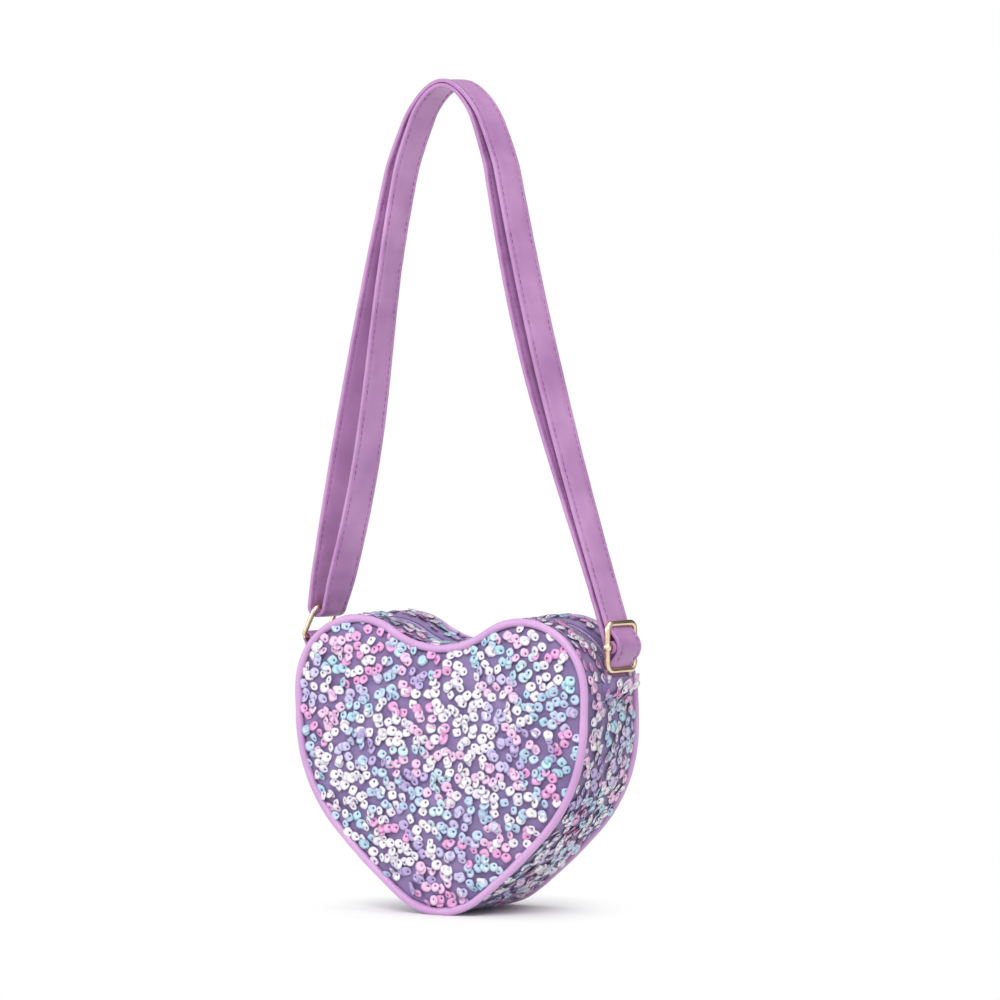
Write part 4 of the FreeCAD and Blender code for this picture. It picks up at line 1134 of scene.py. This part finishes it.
def stitch_shape():
    """One stitch: a short rounded length of thread, 2.8 mm long."""
    turns = np.arange(6) * TAU / 6
    rows = [[(x, 0.32 * share * math.cos(t), 0.22 * share * math.sin(t)) for t in turns]
            for x, share in ((-1.4, 0.35), (-1.05, 1.0), (1.05, 1.0), (1.4, 0.35))]
    return tube_piece("stitch_shape", rows, None)


def make_stitches(lines):
    """Sewn lines along both edges of both sides of the strap."""
    shape = stitch_shape()
    piece = line_piece("strap_stitches", *joined_lines(lines))
    grow(piece, bead_tree("sewn_stitches", shape, STITCH_THREAD), {"Pitch": STITCH_PITCH * MM})
    bpy.data.objects.remove(shape)
    return piece


def coil_shape():
    """One loop of the zip's coil: a flattened ring across the chain."""
    half_width, half_height, wire = 1.65, 0.7, 0.3
    across = np.array([1.0, 0.0, 0.0])
    rings = []
    for turn in np.arange(11) * TAU / 11:
        out = np.array([0.0, math.cos(turn), math.sin(turn)])
        centre = out * np.array([0.0, half_width, half_height])
        rings.append([centre + wire * (math.cos(angle) * out + math.sin(angle) * across)
                      for angle in np.arange(5) * TAU / 5])
    return tube_piece("coil_shape", rings, None, closed=True)


def make_coils():
    """Both rows of the zip's coil, half a pitch apart so that they mesh."""
    shape = coil_shape()
    tree = bead_tree("zip_coil", shape, COIL_NYLON)
    stop = HEART.zip_from + COIL_END * LOBE_RADIUS
    for name, side, phase in (("front", -1, 0.0), ("back", 1, COIL_PITCH / 2)):
        along = np.arange(stop + phase, HEART.total - stop, 1.0)
        places, normals = HEART.at(along)
        points = stood(places - normals * COIL_INSET, side * COIL_Y)
        piece = line_piece(f"zip_coil_{name}", *joined_lines([(points, stood(normals, 0.0))]))
        grow(piece, tree, {"Pitch": COIL_PITCH * MM})
        bag_piece(piece, "zip_teeth", f"zip_teeth_{name}")
    bpy.data.objects.remove(shape)


# Floor, light and camera

def make_floor():
    """Pale round floor that keeps the shadow near the bag and fades to plain white further out."""
    sides, radius, drop = 96, 1800.0, 0.2
    rim = [(*around((0.0, 0.0), radius, side * TAU / sides), -drop) for side in range(sides)]
    material, tree, spots = new_material("studio_paper")
    reach = combine(tree, "LENGTH", spots["Object"], kind="ShaderNodeVectorMath")
    fade = add(tree, "ShaderNodeMapRange", {"interpolation_type": "SMOOTHSTEP"}, {"Value": reach},
               From_Min=0.02, From_Max=0.11)
    paper = add(tree, "ShaderNodeBsdfDiffuse", Color=(0.93, 0.93, 0.93, 1.0))
    glow = add(tree, "ShaderNodeEmission", Color=(1.0, 1.0, 1.0, 1.0), Strength=1.0)
    mixed = add(tree, "ShaderNodeMixShader", None,
                {"Fac": fade.outputs["Result"], 1: paper.outputs["BSDF"], 2: glow.outputs["Emission"]})
    add(tree, "ShaderNodeOutputMaterial", None, {"Surface": mixed.outputs["Shader"]})
    new_piece("studio_floor", rim, [tuple(range(sides))], material, smooth=False)


def make_world():
    """White studio: plain white where it is seen, softer where it lights, a dark back wall in reflections."""
    world = bpy.data.worlds.new("white_studio")
    bpy.context.scene.world = world
    world.use_nodes = True
    tree = world.node_tree
    tree.nodes.clear()
    path = add(tree, "ShaderNodeLightPath")
    coords = add(tree, "ShaderNodeTexCoord")
    parts = add(tree, "ShaderNodeSeparateXYZ", None, {"Vector": coords.outputs["Generated"]})
    mirrored = in_range(tree, parts.outputs["Y"], 1.0, 0.12, 0.1, 0.8)
    lit = in_range(tree, path.outputs["Is Glossy Ray"], 0.5, mirrored)
    strength = in_range(tree, path.outputs["Is Camera Ray"], lit, 1.0)
    sky = add(tree, "ShaderNodeBackground", None, {"Strength": strength}, Color=(1.0, 1.0, 1.0, 1.0))
    add(tree, "ShaderNodeOutputWorld", None, {"Surface": sky.outputs["Background"]})


def aim(thing, place, target):
    """Puts a light or camera at a place, pointing at a target."""
    thing.location = place
    thing.rotation_euler = (Vector(target) - Vector(place)).to_track_quat("-Z", "Y").to_euler()


def make_lights():
    """Soft boxes: the main one high on the right, a weaker one on the left and one overhead."""
    for name, place, size, power in (("main_box", (0.8, -1.7, 1.6), 1.0, 31.0),
                                     ("left_box", (-1.5, -1.4, 0.8), 1.2, 12.0),
                                     ("top_box", (0.1, 0.1, 2.3), 1.2, 14.0)):
        data = bpy.data.lights.new(name, "AREA")
        data.size = size
        data.energy = power
        aim(new_object(name, data), place, (0.0, 0.0, 0.15))


def make_camera():
    """Camera at the photograph's angle: far away, with a long lens."""
    azimuth, elevation, distance = math.radians(28.4), math.radians(1.4), 3.0
    target = Vector((0.0217, 0.0, 0.2512))
    away = Vector((math.sin(azimuth) * math.cos(elevation), -math.cos(azimuth) * math.cos(elevation),
                   math.sin(elevation)))
    data = bpy.data.cameras.new("photo_camera")
    data.sensor_width = 36.0
    data.lens = 177.0
    camera = new_object("photo_camera", data)
    aim(camera, target + away * distance, target)
    bpy.context.scene.camera = camera


# The whole scene

make_layers()
make_pipings()
strap, stitch_lines = make_strap()
stitches = make_stitches(stitch_lines)
for soft in (strap, stitches, make_tab()):
    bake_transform(soft)
make_fittings()
for soft in make_sequins():
    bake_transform(soft)
make_coils()
for node in ("zip_slider", "zip_slider_back", "zip_pull", "zip_top_stop", "zip_bottom_stop"):
    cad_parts[node].data.materials.clear()
    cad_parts[node].data.materials.append(GOLD)

make_floor()
make_world()
make_lights()
make_camera()
bpy.context.scene.view_settings.view_transform = "Standard"
